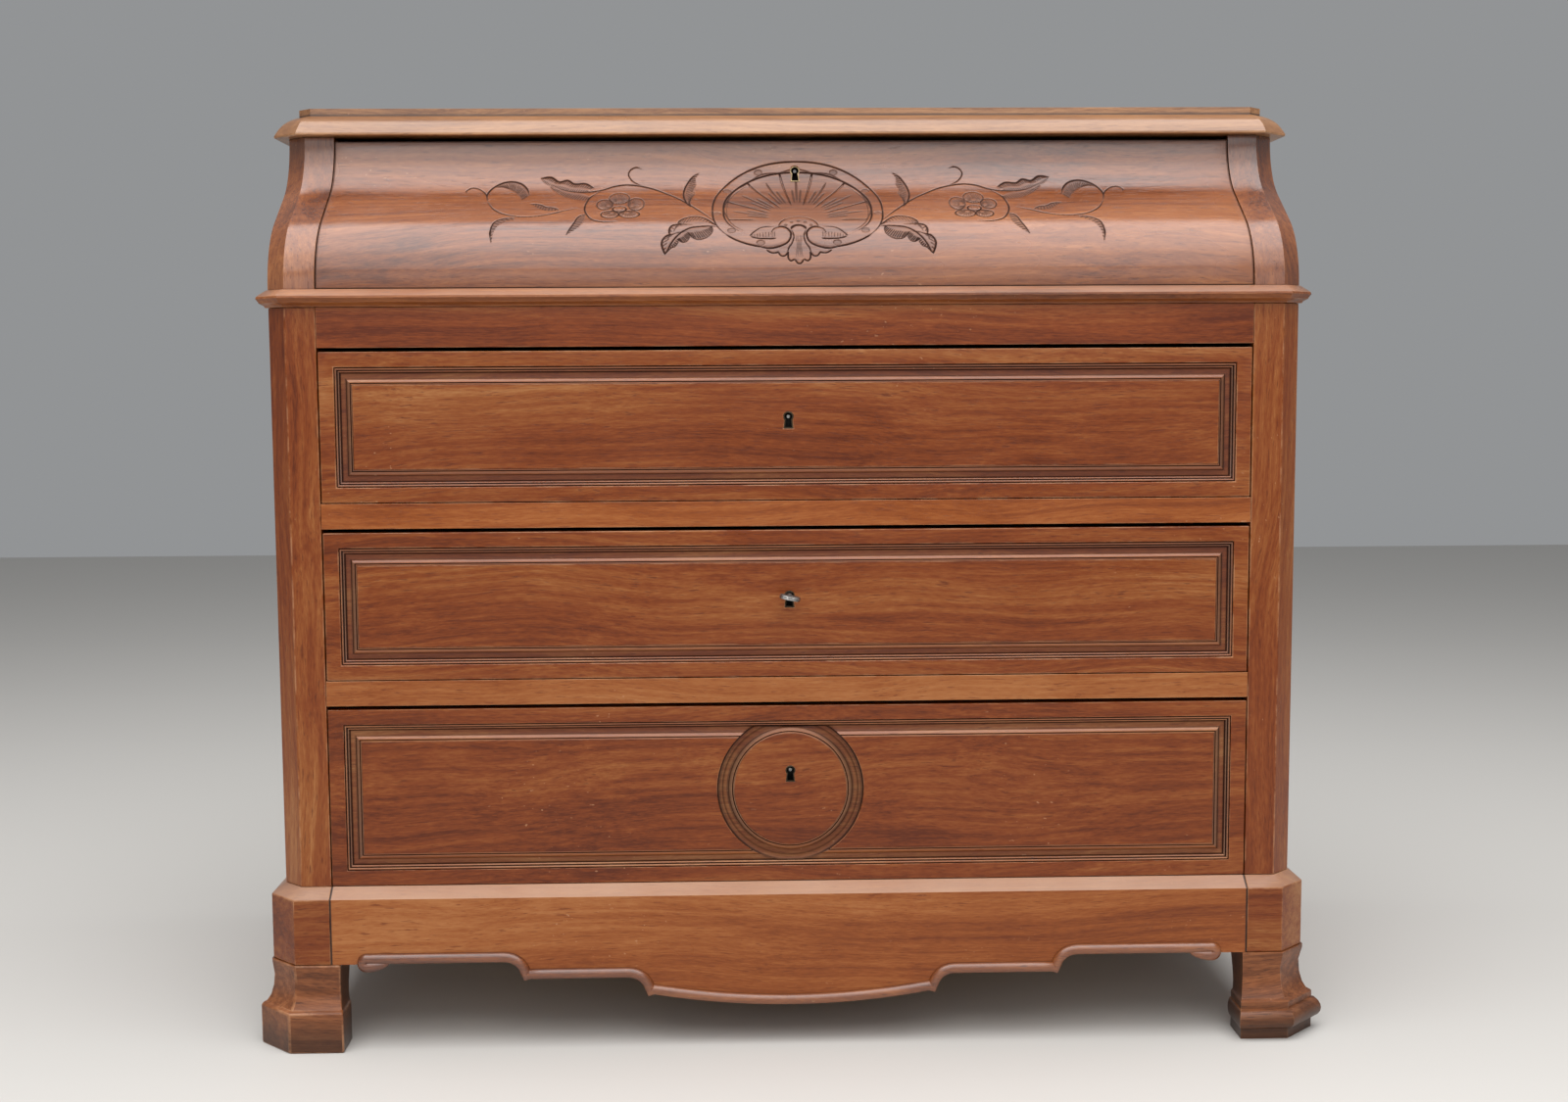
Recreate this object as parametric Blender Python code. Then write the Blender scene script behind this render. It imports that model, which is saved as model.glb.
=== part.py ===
"""A walnut chest of drawers with an ogee-fronted top drawer over three panelled drawers.

Units are metres. +X is the viewer's right, +Y is the back, +Z is up.
The origin is on the floor, under the middle of the chest.
"""
import math

import bmesh
import bpy
from mathutils import Matrix

# Carcass, seen from the front
CASE_WIDTH = 1.218          # across the corner posts
CASE_DEPTH = 0.560          # from the post faces to the back
POST_WIDTH = 0.0595
POST_DEPTH = 0.060
POST_CANT = 0.024           # each leg of the canted corner
SIDE_THICKNESS = 0.022
BACK_THICKNESS = 0.012
BACK_REBATE = 0.008         # the back is let into the sides this far
BOARD_THICKNESS = 0.018     # dust boards and bottom board
GUIDE_HEIGHT = 0.020        # strips on the sides that guide the drawers
FIT = 0.0003                # between pieces that touch

# Heights, from the floor up
FOOT_HEIGHT = 0.103
PLINTH_HEIGHT = 0.079
PLINTH_STEP = 0.016         # plinth stands this far proud of the posts
CHAMFER_HEIGHT = 0.012
LOWER_OPENING = 0.218
MIDDLE_OPENING = 0.1805
UPPER_OPENING = 0.182
RAIL_HEIGHT = 0.030
FRIEZE_HEIGHT = 0.047
WAIST_THICKNESS = 0.021
OGEE_HEIGHT = 0.190
OVOLO_HEIGHT = 0.027
OVOLO_LIP = 0.003           # upright part under the ovolo
OVOLO_BULGE = 0.0042        # the ovolo's rise over its chord
FILLET_HEIGHT = 0.0085

# Mouldings
WAIST_NOSE = 0.0135         # waist moulding, beyond the posts
TOP_NOSE = 0.017            # top moulding, beyond the ogee posts
FILLET_SETBACK = 0.029      # fillet on the top, behind the moulding's nose
OGEE_DEPTH = 0.133          # the ogee leans back this far
OGEE_LOWER_RADIUS = 0.097
OGEE_UPPER_RADIUS = 0.0895
OGEE_SLOPE = math.radians(56)
OGEE_FOOT = 0.0005          # upright part under the ogee's lower arc
OGEE_STEPS = 12
OGEE_POST_BACK = 0.045      # ogee post, behind its top edge
ARC_STEPS = 8
# Edge of the waist board from below: shares of its nose and of its thickness
WAIST_PROFILE = ((0.25, 0.0), (0.35, 0.10), (0.75, 0.25), (0.80, 0.33), (1.0, 0.50), (0.93, 0.62),
                 (0.65, 0.76), (0.10, 1.0))

# Feet
FOOT_INNER_STEP = 0.004     # foot is wider than the post, on the inner side
PLAIN_INNER_STEP = 0.011    # the same for the plain foot
FOOT_FLARE = 0.35           # growth of a front foot's inner end, as a share of its front's
FOOT_DEPTH = 0.046          # front foot's upper part, behind the post faces
FOOT_SOLE_DEPTH = 0.018     # its sole, behind the post faces
FOOT_SLOPE = (0.048, 0.095) # heights between which its back slopes
REAR_FOOT_DEPTH = 0.090
FOOT_BEAD = 0.040           # bead of the moulded foot, beyond the posts
FOOT_BEAD_RADIUS = 0.012
FOOT_BEAD_HEIGHT = 0.025
FOOT_BASE = 0.029           # foot below the bead, beyond the posts
FOOT_NECK = 0.014           # hollow of the foot, beyond the posts
FOOT_NECK_HEIGHT = 0.083
FOOT_CAP = 0.018            # top of the foot, beyond the posts
FOOT_CAP_HEIGHT = 0.004
BLOCK_FOOT_SIZE = 0.031     # plain foot, beyond the posts
BLOCK_FOOT_HEIGHT = 0.048
BLOCK_FOOT_NECK = 0.016

# Apron: half widths and heights of its steps, for the line of the bead
APRON_THICKNESS = 0.040
APRON_CENTRE_HEIGHT = 0.053
APRON_SWEEP_HALF = 0.165
APRON_SWEEP_RISE = 0.0145
APRON_STEP_WIDTH = 0.026
APRON_STEP_RISE = 0.0235
APRON_STEP_CUSP = 0.005
APRON_FLAT = 0.117
APRON_END_GAP = 0.0395      # from the bead's end to the corner block
APRON_CURL = 0.009
BEAD_RADIUS = 0.0055
BEAD_STEPS = 6

# Drawers
DRAWER_GAP_SIDE = 0.0015
DRAWER_GAP_BELOW = 0.0010
DRAWER_GAP_ABOVE = 0.0045
TOP_GAP_ABOVE = 0.0060      # over the ogee drawer
FRONT_THICKNESS = 0.024
OGEE_FRONT_THICKNESS = 0.028
DRAWER_SIDE_THICKNESS = 0.014
DRAWER_SIDE_DROP = 0.012    # sides stop below the front's top edge
DRAWER_BACK_THICKNESS = 0.014
DRAWER_BACK_CLEARANCE = 0.018
BOTTOM_THICKNESS = 0.008
BOTTOM_LIFT = 0.010         # bottom panel above the lower edge of the sides
GROOVE_DEPTH = 0.006
DOVETAIL_LENGTH = 0.016
DOVETAIL_COUNT = 3
DOVETAIL_FLARE = 0.0025     # a tail widens this much on each side
TENON_LENGTH = 0.015
TENON_THICKNESS = 0.014

# Sunk moulding round the drawer panels
PANEL_BORDER = 0.018
PANEL_CHANNEL = 0.0205
PANEL_SINK = 0.005
RING_RADIUS = 0.088         # ring on the lower drawer, to its outer edge
RING_CENTRE_RAISE = 0.0055  # ring's middle above the panel's middle
RING_STEPS = 48

# Locks and key
KEYHOLE_DROP = 0.0785       # keyhole below the front's top edge
TOP_KEYHOLE_DROP = 0.0375
TOP_KEYHOLE_OFFSET = 0.013  # keyhole of the ogee drawer sits right of the middle
KEYHOLE_RADIUS = 0.0046
KEYHOLE_NECK = 0.0030
KEYHOLE_SKIRT = 0.0042
KEYHOLE_LENGTH = 0.0125     # from the round's middle to the lower end
KEYHOLE_STEPS = 12
LINER_WALL = 0.0010
LINER_DEPTH = 0.008
LOCK_WIDTH = 0.070
LOCK_TAIL = 0.022           # case below the keyhole
LOCK_THICKNESS = 0.012
LOCK_WALL = 0.002
BOLT_WIDTH = 0.030
BOLT_THICKNESS = 0.005
BOLT_RISE = 0.013           # bolt's lower end above the keyhole
BOLT_TRAVEL = 0.008
BOLT_PLAY = 0.0006
PIN_RADIUS = 0.0020
PIN_SETBACK = 0.0045        # pin's tip behind the front's face
KEY_SHANK_RADIUS = 0.0034
KEY_BORE_RADIUS = 0.0024
KEY_SHANK_OUT = 0.012       # shank in front of the drawer
KEY_BOW_WIDTH = 0.024
KEY_BOW_LENGTH = 0.018
KEY_BOW_THICKNESS = 0.005
KEY_BOW_RIM = 0.005
KEY_BIT_REACH = 0.011
KEY_BIT_THICKNESS = 0.0026
KEY_BOW_STEPS = 24
KEY_TILT = math.radians(12)

# Colours
WALNUT = (0.262, 0.090, 0.036)
WALNUT_DARK = (0.180, 0.062, 0.028)
INNER_WOOD = (0.420, 0.270, 0.140)
BRASS = (0.500, 0.350, 0.140)
STEEL = (0.300, 0.290, 0.280)

# Levels and planes that follow from the sizes above
HALF_CASE = CASE_WIDTH / 2
HALF_OPENING = HALF_CASE - POST_WIDTH
HALF_INSIDE = HALF_CASE - SIDE_THICKNESS - FIT
APRON_END = HALF_OPENING - APRON_END_GAP
HALF_REBATE = HALF_CASE - SIDE_THICKNESS + BACK_REBATE
FACE_Y = (FOOT_BEAD - CASE_DEPTH) / 2
BACK_Y = FACE_Y + CASE_DEPTH
POST_BACK_Y = FACE_Y + POST_DEPTH
PLINTH_Z = FOOT_HEIGHT + PLINTH_HEIGHT
LOWER_Z = PLINTH_Z + CHAMFER_HEIGHT
LOWER_TOP_Z = LOWER_Z + LOWER_OPENING
MIDDLE_Z = LOWER_TOP_Z + RAIL_HEIGHT
MIDDLE_TOP_Z = MIDDLE_Z + MIDDLE_OPENING
UPPER_Z = MIDDLE_TOP_Z + RAIL_HEIGHT
UPPER_TOP_Z = UPPER_Z + UPPER_OPENING
WAIST_Z = UPPER_TOP_Z + FRIEZE_HEIGHT
OGEE_Z = WAIST_Z + WAIST_THICKNESS
SOFFIT_Z = OGEE_Z + OGEE_HEIGHT
OGEE_BACK_Y = FACE_Y + OGEE_DEPTH + OGEE_POST_BACK
DRAWER_END_Y = BACK_Y - BACK_THICKNESS - DRAWER_BACK_CLEARANCE
TENON_LOW_Y = FACE_Y + (POST_DEPTH - TENON_THICKNESS) / 2
RAILS = (
    ("lower_rail", LOWER_TOP_Z, MIDDLE_Z),
    ("upper_rail", MIDDLE_TOP_Z, UPPER_Z),
    ("frieze_rail", UPPER_TOP_Z, WAIST_Z),
)
SIDES = {"left": -1, "right": 1}

for old in list(bpy.data.objects):
    bpy.data.objects.remove(old, do_unlink=True)
PARTS = bpy.data.collections.new("chest_of_drawers")
CUTTERS = bpy.data.collections.new("cutters")
bpy.context.scene.collection.children.link(PARTS)
bpy.context.scene.collection.children.link(CUTTERS)


def finish(name, colour, roughness=0.45, metallic=0.0):
    """A Principled material for one piece."""
    material = bpy.data.materials.new(name + "_finish")
    material.use_nodes = True
    shader = material.node_tree.nodes["Principled BSDF"]
    shader.inputs["Base Color"].default_value = (*colour, 1.0)
    shader.inputs["Roughness"].default_value = roughness
    shader.inputs["Metallic"].default_value = metallic
    return material


def add_piece(name, mesh, matrix, colour):
    """Put a mesh in the parts collection, or among the cutters where it has no colour."""
    piece = bpy.data.objects.new(name, mesh)
    piece.matrix_world = matrix
    if colour is None:
        CUTTERS.objects.link(piece)
        piece.hide_render = True
        piece.display_type = "WIRE"
        return piece
    PARTS.objects.link(piece)
    metal = colour in (BRASS, STEEL)
    mesh.materials.append(finish(name, colour, 0.35 if metal else 0.45, 1.0 if metal else 0.0))
    return piece


def mesh_from(name, form):
    """A mesh with its doubles welded, its flat faces whole and its faces pointing out."""
    bmesh.ops.remove_doubles(form, verts=form.verts, dist=0.00001)
    bmesh.ops.dissolve_limit(form, angle_limit=math.radians(0.1), verts=form.verts, edges=form.edges)
    bmesh.ops.recalc_face_normals(form, faces=form.faces)
    mesh = bpy.data.meshes.new(name)
    form.to_mesh(mesh)
    form.free()
    return mesh


def box(name, low, high, colour=None):
    """A box between two corners."""
    form = bmesh.new()
    bmesh.ops.create_cube(form, size=1.0)
    size = [top - bottom for bottom, top in zip(low, high)]
    bmesh.ops.scale(form, vec=size, verts=form.verts)
    centre = [(bottom + top) / 2 for bottom, top in zip(low, high)]
    return add_piece(name, mesh_from(name, form), Matrix.Translation(centre), colour)


PLANES = {
    "X": Matrix.Rotation(math.pi / 2, 4, "Z") @ Matrix.Rotation(math.pi / 2, 4, "X"),
    "Y": Matrix.Rotation(math.pi / 2, 4, "X"),
    "Z": Matrix.Identity(4),
}


def curve_mesh(name, curve, matrix):
    """A closed mesh made from a curve, with its caps welded on."""
    guide = bpy.data.objects.new(name + "_curve", curve)
    guide.matrix_world = matrix
    CUTTERS.objects.link(guide)
    bpy.context.view_layer.update()
    made = bpy.data.meshes.new_from_object(guide.evaluated_get(bpy.context.evaluated_depsgraph_get()))
    form = bmesh.new()
    form.from_mesh(made)
    bpy.data.objects.remove(guide, do_unlink=True)
    bpy.data.meshes.remove(made)
    return mesh_from(name, form)


def outline(name, loops, axis, low, high, colour=None):
    """A flat outline, with any holes, extruded along an axis from low to high.

    Points are (y, z) for axis X, (x, z) for axis Y and (x, y) for axis Z.
    """
    curve = bpy.data.curves.new(name, "CURVE")
    curve.dimensions = "2D"
    curve.fill_mode = "BOTH"
    curve.extrude = (high - low) / 2
    for loop in loops:
        spline = curve.splines.new("POLY")
        spline.points.add(len(loop) - 1)
        for point, (u, v) in zip(spline.points, loop):
            point.co = (u, v, 0.0, 1.0)
        spline.use_cyclic_u = True
    middle = (low + high) / 2
    place = [middle if letter == axis else 0.0 for letter in "XYZ"]
    matrix = Matrix.Translation(place) @ PLANES[axis]
    return add_piece(name, curve_mesh(name, curve, matrix), matrix, colour)


def loft(name, rings, colour):
    """A closed body through rings of equal length, from the lowest ring to the highest."""
    form = bmesh.new()
    layers = [[form.verts.new(point) for point in ring] for ring in rings]
    count = len(rings[0])
    for under, over in zip(layers, layers[1:]):
        for here in range(count):
            there = (here + 1) % count
            form.faces.new((under[here], under[there], over[there], over[here]))
    form.faces.new(list(reversed(layers[0])))
    form.faces.new(layers[-1])
    return add_piece(name, mesh_from(name, form), Matrix.Identity(4), colour)


def cylinder(name, radius, low_y, high_y, x, z, colour=None, segments=20):
    """A round bar along Y."""
    form = bmesh.new()
    bmesh.ops.create_cone(form, cap_ends=True, segments=segments, radius1=radius, radius2=radius,
                          depth=high_y - low_y)
    matrix = Matrix.Translation((x, (low_y + high_y) / 2, z)) @ PLANES["Y"]
    return add_piece(name, mesh_from(name, form), matrix, colour)


def combine(piece, tool, operation, solver):
    """A Boolean modifier on a piece."""
    step = piece.modifiers.new(tool.name, "BOOLEAN")
    step.operation = operation
    step.solver = solver
    step.object = tool


def cut(piece, tool, solver="EXACT"):
    """Take a cutter out of a piece."""
    combine(piece, tool, "DIFFERENCE", solver)


def unite(piece, tool, solver="EXACT"):
    """Join a second form to a piece, as one body."""
    combine(piece, tool, "UNION", solver)


def smooth(piece, angle=30):
    """Shade a round piece smooth up to an angle."""
    piece.data.shade_smooth()
    piece.data.set_sharp_from_angle(angle=math.radians(angle))


def carry(pieces, name, place):
    """Parent pieces to an empty, the place that a joint moves."""
    empty = bpy.data.objects.new(name, None)
    empty.location = place
    PARTS.objects.link(empty)
    for piece in pieces:
        piece.parent = empty
        piece.matrix_parent_inverse = Matrix.Translation([-value for value in place])
    return empty


def cant_leg(offset):
    """Leg of the canted corner where the plan grows by an offset on every face."""
    return POST_CANT + offset * (2 - math.sqrt(2))


def corner_plan(side, inner, offset, front, back):
    """Plan of a corner piece with a canted outer corner, grown by an offset in front and outside."""
    outer = HALF_CASE + offset
    leg = cant_leg(offset)
    plan = [(inner, front - offset), (outer - leg, front - offset), (outer, front - offset + leg),
            (outer, back), (inner, back)]
    if side > 0:
        return plan
    return [(-x, y) for x, y in reversed(plan)]


def board_plan(offset, front, notch):
    """Plan of a full board with canted front corners and a notch for the back panel."""
    outer = HALF_CASE + offset
    leg = cant_leg(offset)
    right = [(outer - leg, front - offset), (outer, front - offset + leg), (outer, BACK_Y)]
    if notch:
        right += [(HALF_REBATE, BACK_Y), (HALF_REBATE, BACK_Y - BACK_THICKNESS - FIT)]
    return right + [(-x, y) for x, y in reversed(right)]


def raised(plan, z):
    """A plan lifted to a height."""
    return [(x, y, z) for x, y in plan]


def ogee_points(shift=0.0):
    """Side profile of the ogee as (y, z), from its foot to the soffit.

    A positive shift moves the line inwards, square to the surface.
    """
    radii = OGEE_LOWER_RADIUS + OGEE_UPPER_RADIUS
    straight = OGEE_DEPTH - radii * (1 - math.cos(OGEE_SLOPE))
    lower_z = OGEE_Z + OGEE_FOOT
    upper_z = lower_z + radii * math.sin(OGEE_SLOPE) + straight / math.tan(OGEE_SLOPE)
    points = [(FACE_Y + shift, OGEE_Z)]
    for step in range(OGEE_STEPS + 1):
        turn = OGEE_SLOPE * step / OGEE_STEPS
        reach = OGEE_LOWER_RADIUS - shift
        points.append((FACE_Y + OGEE_LOWER_RADIUS - reach * math.cos(turn),
                       lower_z + reach * math.sin(turn)))
    for step in range(OGEE_STEPS, -1, -1):
        turn = OGEE_SLOPE * step / OGEE_STEPS
        reach = OGEE_UPPER_RADIUS + shift
        points.append((FACE_Y + OGEE_DEPTH - OGEE_UPPER_RADIUS + reach * math.cos(turn),
                       upper_z - reach * math.sin(turn)))
    points.append((FACE_Y + OGEE_DEPTH + shift, SOFFIT_Z))
    return points


def ogee_y(z, shift=0.0):
    """Where the ogee's surface is at a height."""
    points = ogee_points(shift)
    for (y0, z0), (y1, z1) in zip(points, points[1:]):
        if z0 <= z <= z1:
            return y0 + (y1 - y0) * (z - z0) / (z1 - z0)
    return points[-1][0]


def arc(centre, radius, start, end, steps):
    """Points on an arc, with angles in radians."""
    return [(centre[0] + radius * math.cos(start + (end - start) * step / steps),
             centre[1] + radius * math.sin(start + (end - start) * step / steps))
            for step in range(steps + 1)]


# Carcass
def make_top():
    """The top: an ovolo nose under a set-back fillet, in one board."""
    front = FACE_Y + OGEE_DEPTH
    low = SOFFIT_Z + FIT
    lip = OVOLO_LIP
    rise = OVOLO_HEIGHT - lip
    chord = math.hypot(FILLET_SETBACK, rise)
    profile = [(TOP_NOSE - lip / 3, low), (TOP_NOSE, low + lip / 3), (TOP_NOSE, low + lip)]
    for step in range(1, ARC_STEPS + 1):
        share = step / ARC_STEPS
        bulge = OVOLO_BULGE * math.sin(math.pi * share) / chord
        profile.append((TOP_NOSE - FILLET_SETBACK * share + bulge * rise,
                        low + lip + rise * share + bulge * FILLET_SETBACK))
    profile.append((TOP_NOSE - FILLET_SETBACK, low + OVOLO_HEIGHT + FILLET_HEIGHT))
    rings = [raised(board_plan(offset, front, False), z) for offset, z in profile]
    return loft("top_board", rings, WALNUT)


def make_waist():
    """The waist board, whose moulded edge runs round the front and both sides."""
    low = WAIST_Z + FIT
    rise = WAIST_THICKNESS - FIT
    rings = [raised(board_plan(WAIST_NOSE * out, FACE_Y, True), low + rise * up) for out, up in WAIST_PROFILE]
    return loft("waist_board", rings, WALNUT)


def make_posts():
    """Canted corner posts of the lower case, with mortises for the rails."""
    for word, side in SIDES.items():
        plan = corner_plan(side, HALF_OPENING, 0.0, FACE_Y, POST_BACK_Y)
        post = outline("front_post_" + word, [plan], "Z", LOWER_Z + FIT, WAIST_Z, WALNUT)
        for rail, low, high in RAILS:
            tongue = sorted((side * (HALF_OPENING - FIT), side * (HALF_OPENING + TENON_LENGTH)))
            mortise = box("mortise_" + rail + "_" + word,
                          (tongue[0] - FIT, TENON_LOW_Y - FIT, low - FIT),
                          (tongue[1] + FIT, TENON_LOW_Y + TENON_THICKNESS + FIT, high + FIT))
            cut(post, mortise)


def make_ogee_posts():
    """Corner posts of the upper case, which follow the ogee."""
    for word, side in SIDES.items():
        rings = []
        for y, z in ogee_points():
            level = min(max(z, OGEE_Z + FIT), SOFFIT_Z - FIT)
            rings.append(raised(corner_plan(side, HALF_OPENING, 0.0, y, OGEE_BACK_Y), level))
        smooth(loft("ogee_post_" + word, rings, WALNUT))


def side_board(name, side, low, high, front, shelves):
    """A side board with a guide strip above each shelf that a drawer runs on."""
    inner = HALF_CASE - SIDE_THICKNESS
    loop = [(HALF_CASE, low), (HALF_CASE, high), (inner, high)]
    for shelf in sorted(shelves, reverse=True):
        bottom = max(shelf + FIT, low)
        guide = bottom + GUIDE_HEIGHT
        loop += [(inner, guide), (HALF_OPENING, guide), (HALF_OPENING, bottom)]
        if bottom > low:
            loop.append((inner, bottom))
    if loop[-1][0] == inner:
        loop.append((inner, low))
    loop = [(side * x, z) for x, z in loop]
    board = outline(name, [loop], "Y", front + FIT, BACK_Y, WALNUT)
    cut(board, back_rebate(name), "MANIFOLD")


def back_rebate(name):
    """A cutter for the rebate that takes the back panel."""
    return box(name + "_rebate", (-HALF_REBATE, BACK_Y - BACK_THICKNESS - FIT, 0.0),
               (HALF_REBATE, BACK_Y + BACK_THICKNESS, SOFFIT_Z + BACK_THICKNESS))


def make_case_boards():
    """Sides, back, dust boards and bottom board."""
    for word, side in SIDES.items():
        shelves = (LOWER_Z, MIDDLE_Z, UPPER_Z)
        side_board("lower_side_" + word, side, LOWER_Z + FIT, WAIST_Z, POST_BACK_Y, shelves)
        side_board("upper_side_" + word, side, OGEE_Z + FIT, SOFFIT_Z - FIT, OGEE_BACK_Y, (OGEE_Z,))
    box("back_panel", (-HALF_REBATE + FIT, BACK_Y - BACK_THICKNESS, FOOT_HEIGHT),
        (HALF_REBATE - FIT, BACK_Y, SOFFIT_Z - FIT), INNER_WOOD)
    inner_back = BACK_Y - BACK_THICKNESS - FIT
    for name, shelf in (("upper_dust_board", UPPER_Z), ("lower_dust_board", MIDDLE_Z)):
        box(name, (-HALF_INSIDE, POST_BACK_Y + FIT, shelf - BOARD_THICKNESS),
            (HALF_INSIDE, inner_back, shelf), INNER_WOOD)
    narrow = HALF_OPENING - FIT
    rail_back = FACE_Y - PLINTH_STEP + APRON_THICKNESS + FIT
    right = [(narrow, rail_back), (narrow, POST_BACK_Y + FIT), (HALF_INSIDE, POST_BACK_Y + FIT),
             (HALF_INSIDE, inner_back)]
    plan = right + [(-x, y) for x, y in reversed(right)]
    outline("bottom_board", [plan], "Z", LOWER_Z - BOARD_THICKNESS, LOWER_Z, INNER_WOOD)


def make_rails():
    """Rails between the drawers, with a tenon at each end and a slot for the lock bolt below."""
    end = HALF_OPENING - FIT
    tip = HALF_OPENING + TENON_LENGTH
    tenon_high = TENON_LOW_Y + TENON_THICKNESS
    right = [(end, FACE_Y), (end, TENON_LOW_Y), (tip, TENON_LOW_Y), (tip, tenon_high), (end, tenon_high),
             (end, POST_BACK_Y)]
    plan = right + [(-x, y) for x, y in reversed(right)]
    for name, low, high in RAILS:
        rail = outline(name, [plan], "Z", low, high, WALNUT)
        cut(rail, bolt_slot(name + "_bolt_slot", 0.0, FACE_Y + FRONT_THICKNESS, low), "MANIFOLD")


def make_plinth():
    """Corner blocks, side plinths and the apron rail, all with a chamfered top."""
    for word, side in SIDES.items():
        steps = ((PLINTH_STEP, FOOT_HEIGHT), (PLINTH_STEP, PLINTH_Z), (0.0, LOWER_Z))
        rings = [raised(corner_plan(side, HALF_OPENING, offset, FACE_Y, POST_BACK_Y), z)
                 for offset, z in steps]
        loft("base_block_" + word, rings, WALNUT)
        rings = []
        for offset, z in steps:
            inner, outer = HALF_CASE - SIDE_THICKNESS, HALF_CASE + offset
            plan = [(inner, POST_BACK_Y + FIT), (outer, POST_BACK_Y + FIT), (outer, BACK_Y), (inner, BACK_Y)]
            rings.append(raised([(side * x, y) for x, y in plan], z))
        plinth = loft("side_plinth_" + word, rings, WALNUT)
        cut(plinth, back_rebate(plinth.name), "MANIFOLD")


def apron_half():
    """Line of the apron bead from the middle to the right end, as (x, z)."""
    points = []
    for step in range(ARC_STEPS + 1):
        x = APRON_SWEEP_HALF * step / ARC_STEPS
        points.append((x, APRON_CENTRE_HEIGHT + APRON_SWEEP_RISE * (x / APRON_SWEEP_HALF) ** 2))
    for _ in range(2):
        x, z = points[-1]
        low = (x + APRON_STEP_CUSP, z - APRON_STEP_CUSP / 2)
        points.append(low)
        for step in range(1, ARC_STEPS // 2 + 1):
            turn = math.pi / 2 * step / (ARC_STEPS // 2)
            points.append((low[0] + APRON_STEP_WIDTH * (1 - math.cos(turn)),
                           low[1] + APRON_STEP_RISE * math.sin(turn)))
        points.append((points[-1][0] + APRON_FLAT, points[-1][1]))
    points[-1] = (APRON_END - APRON_CURL, points[-2][1])
    return points


def make_apron():
    """Apron rail with a shaped lower edge, and the half-round bead planted along that edge."""
    right = [(x, z - BEAD_RADIUS) for x, z in apron_half()]
    end = HALF_OPENING - FIT
    stop = APRON_END + APRON_CURL
    right += [(stop, right[-1][1]), (stop, FOOT_HEIGHT), (end, FOOT_HEIGHT), (end, LOWER_Z)]
    loop = right + [(-x, z) for x, z in reversed(right[1:])]
    front = FACE_Y - PLINTH_STEP
    rail = outline("apron_rail", [loop], "Y", front, front + APRON_THICKNESS, WALNUT)
    above = LOWER_Z + CHAMFER_HEIGHT
    wedge = [(front - PLINTH_STEP, PLINTH_Z - CHAMFER_HEIGHT), (FACE_Y + PLINTH_STEP, above),
             (front - PLINTH_STEP, above)]
    cut(rail, outline("apron_chamfer", [wedge], "X", -HALF_CASE, HALF_CASE), "MANIFOLD")
    half = apron_half()
    tail = [(APRON_END, half[-1][1] - APRON_CURL / 2)]
    path = [(-x, z) for x, z in reversed(half[1:] + tail)] + half + tail
    bead_strip("apron_bead", path, front - FIT, BEAD_RADIUS)


def bead_strip(name, path, back_y, radius):
    """A half-round strip along a path in the front plane, flat against back_y."""
    section = arc((0.0, 0.0), radius, 0.0, math.pi, BEAD_STEPS)
    rings = []
    for index, (x, z) in enumerate(path):
        before = path[max(index - 1, 0)]
        after = path[min(index + 1, len(path) - 1)]
        run = math.hypot(after[0] - before[0], after[1] - before[1])
        normal = (-(after[1] - before[1]) / run, (after[0] - before[0]) / run)
        rings.append([(x + normal[0] * across, back_y - out, z + normal[1] * across)
                      for across, out in section])
    smooth(loft(name, rings, WALNUT))


def foot_profile(moulded):
    """Profile of a foot as (offset, height), from the floor up."""
    cap = FOOT_HEIGHT - FIT
    if moulded:
        low = FOOT_BEAD_HEIGHT - FOOT_BEAD_RADIUS
        high = FOOT_BEAD_HEIGHT + FOOT_BEAD_RADIUS
        points = [(FOOT_BASE, 0.0), (FOOT_BASE, low)]
        for step in range(1, ARC_STEPS):
            turn = math.pi * step / ARC_STEPS
            points.append((FOOT_BASE + (FOOT_BEAD - FOOT_BASE) * math.sin(turn),
                           FOOT_BEAD_HEIGHT - FOOT_BEAD_RADIUS * math.cos(turn)))
        neck, wide = FOOT_NECK, FOOT_BASE
        points.append((wide, high))
        high += FOOT_CAP_HEIGHT * 2
    else:
        high = BLOCK_FOOT_HEIGHT
        neck, wide = BLOCK_FOOT_NECK, BLOCK_FOOT_SIZE
        points = [(wide, 0.0)]
    for step in range(ARC_STEPS // 2 + 1):
        turn = math.pi / 2 * step / (ARC_STEPS // 2)
        points.append((wide - (wide - neck) * math.sin(turn),
                       FOOT_NECK_HEIGHT - (FOOT_NECK_HEIGHT - high) * math.cos(turn)))
    points += [(FOOT_CAP, cap - FOOT_CAP_HEIGHT), (FOOT_CAP, cap)]
    return points


def front_foot_rings(side):
    """Rings of a front foot, plain on the left and moulded on the right, with a back that slopes forward."""
    moulded = side > 0
    neck = FOOT_NECK if moulded else BLOCK_FOOT_NECK
    step = FOOT_INNER_STEP if moulded else PLAIN_INNER_STEP
    low, high = FOOT_SLOPE
    rings = []
    for offset, z in foot_profile(moulded):
        share = min(max((z - low) / (high - low), 0.0), 1.0)
        back = FACE_Y + FOOT_SOLE_DEPTH + (FOOT_DEPTH - FOOT_SOLE_DEPTH) * share
        inner = HALF_OPENING - step - FOOT_FLARE * (offset - neck)
        rings.append(raised(corner_plan(side, inner, offset, FACE_Y, back), z))
    return rings


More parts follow.
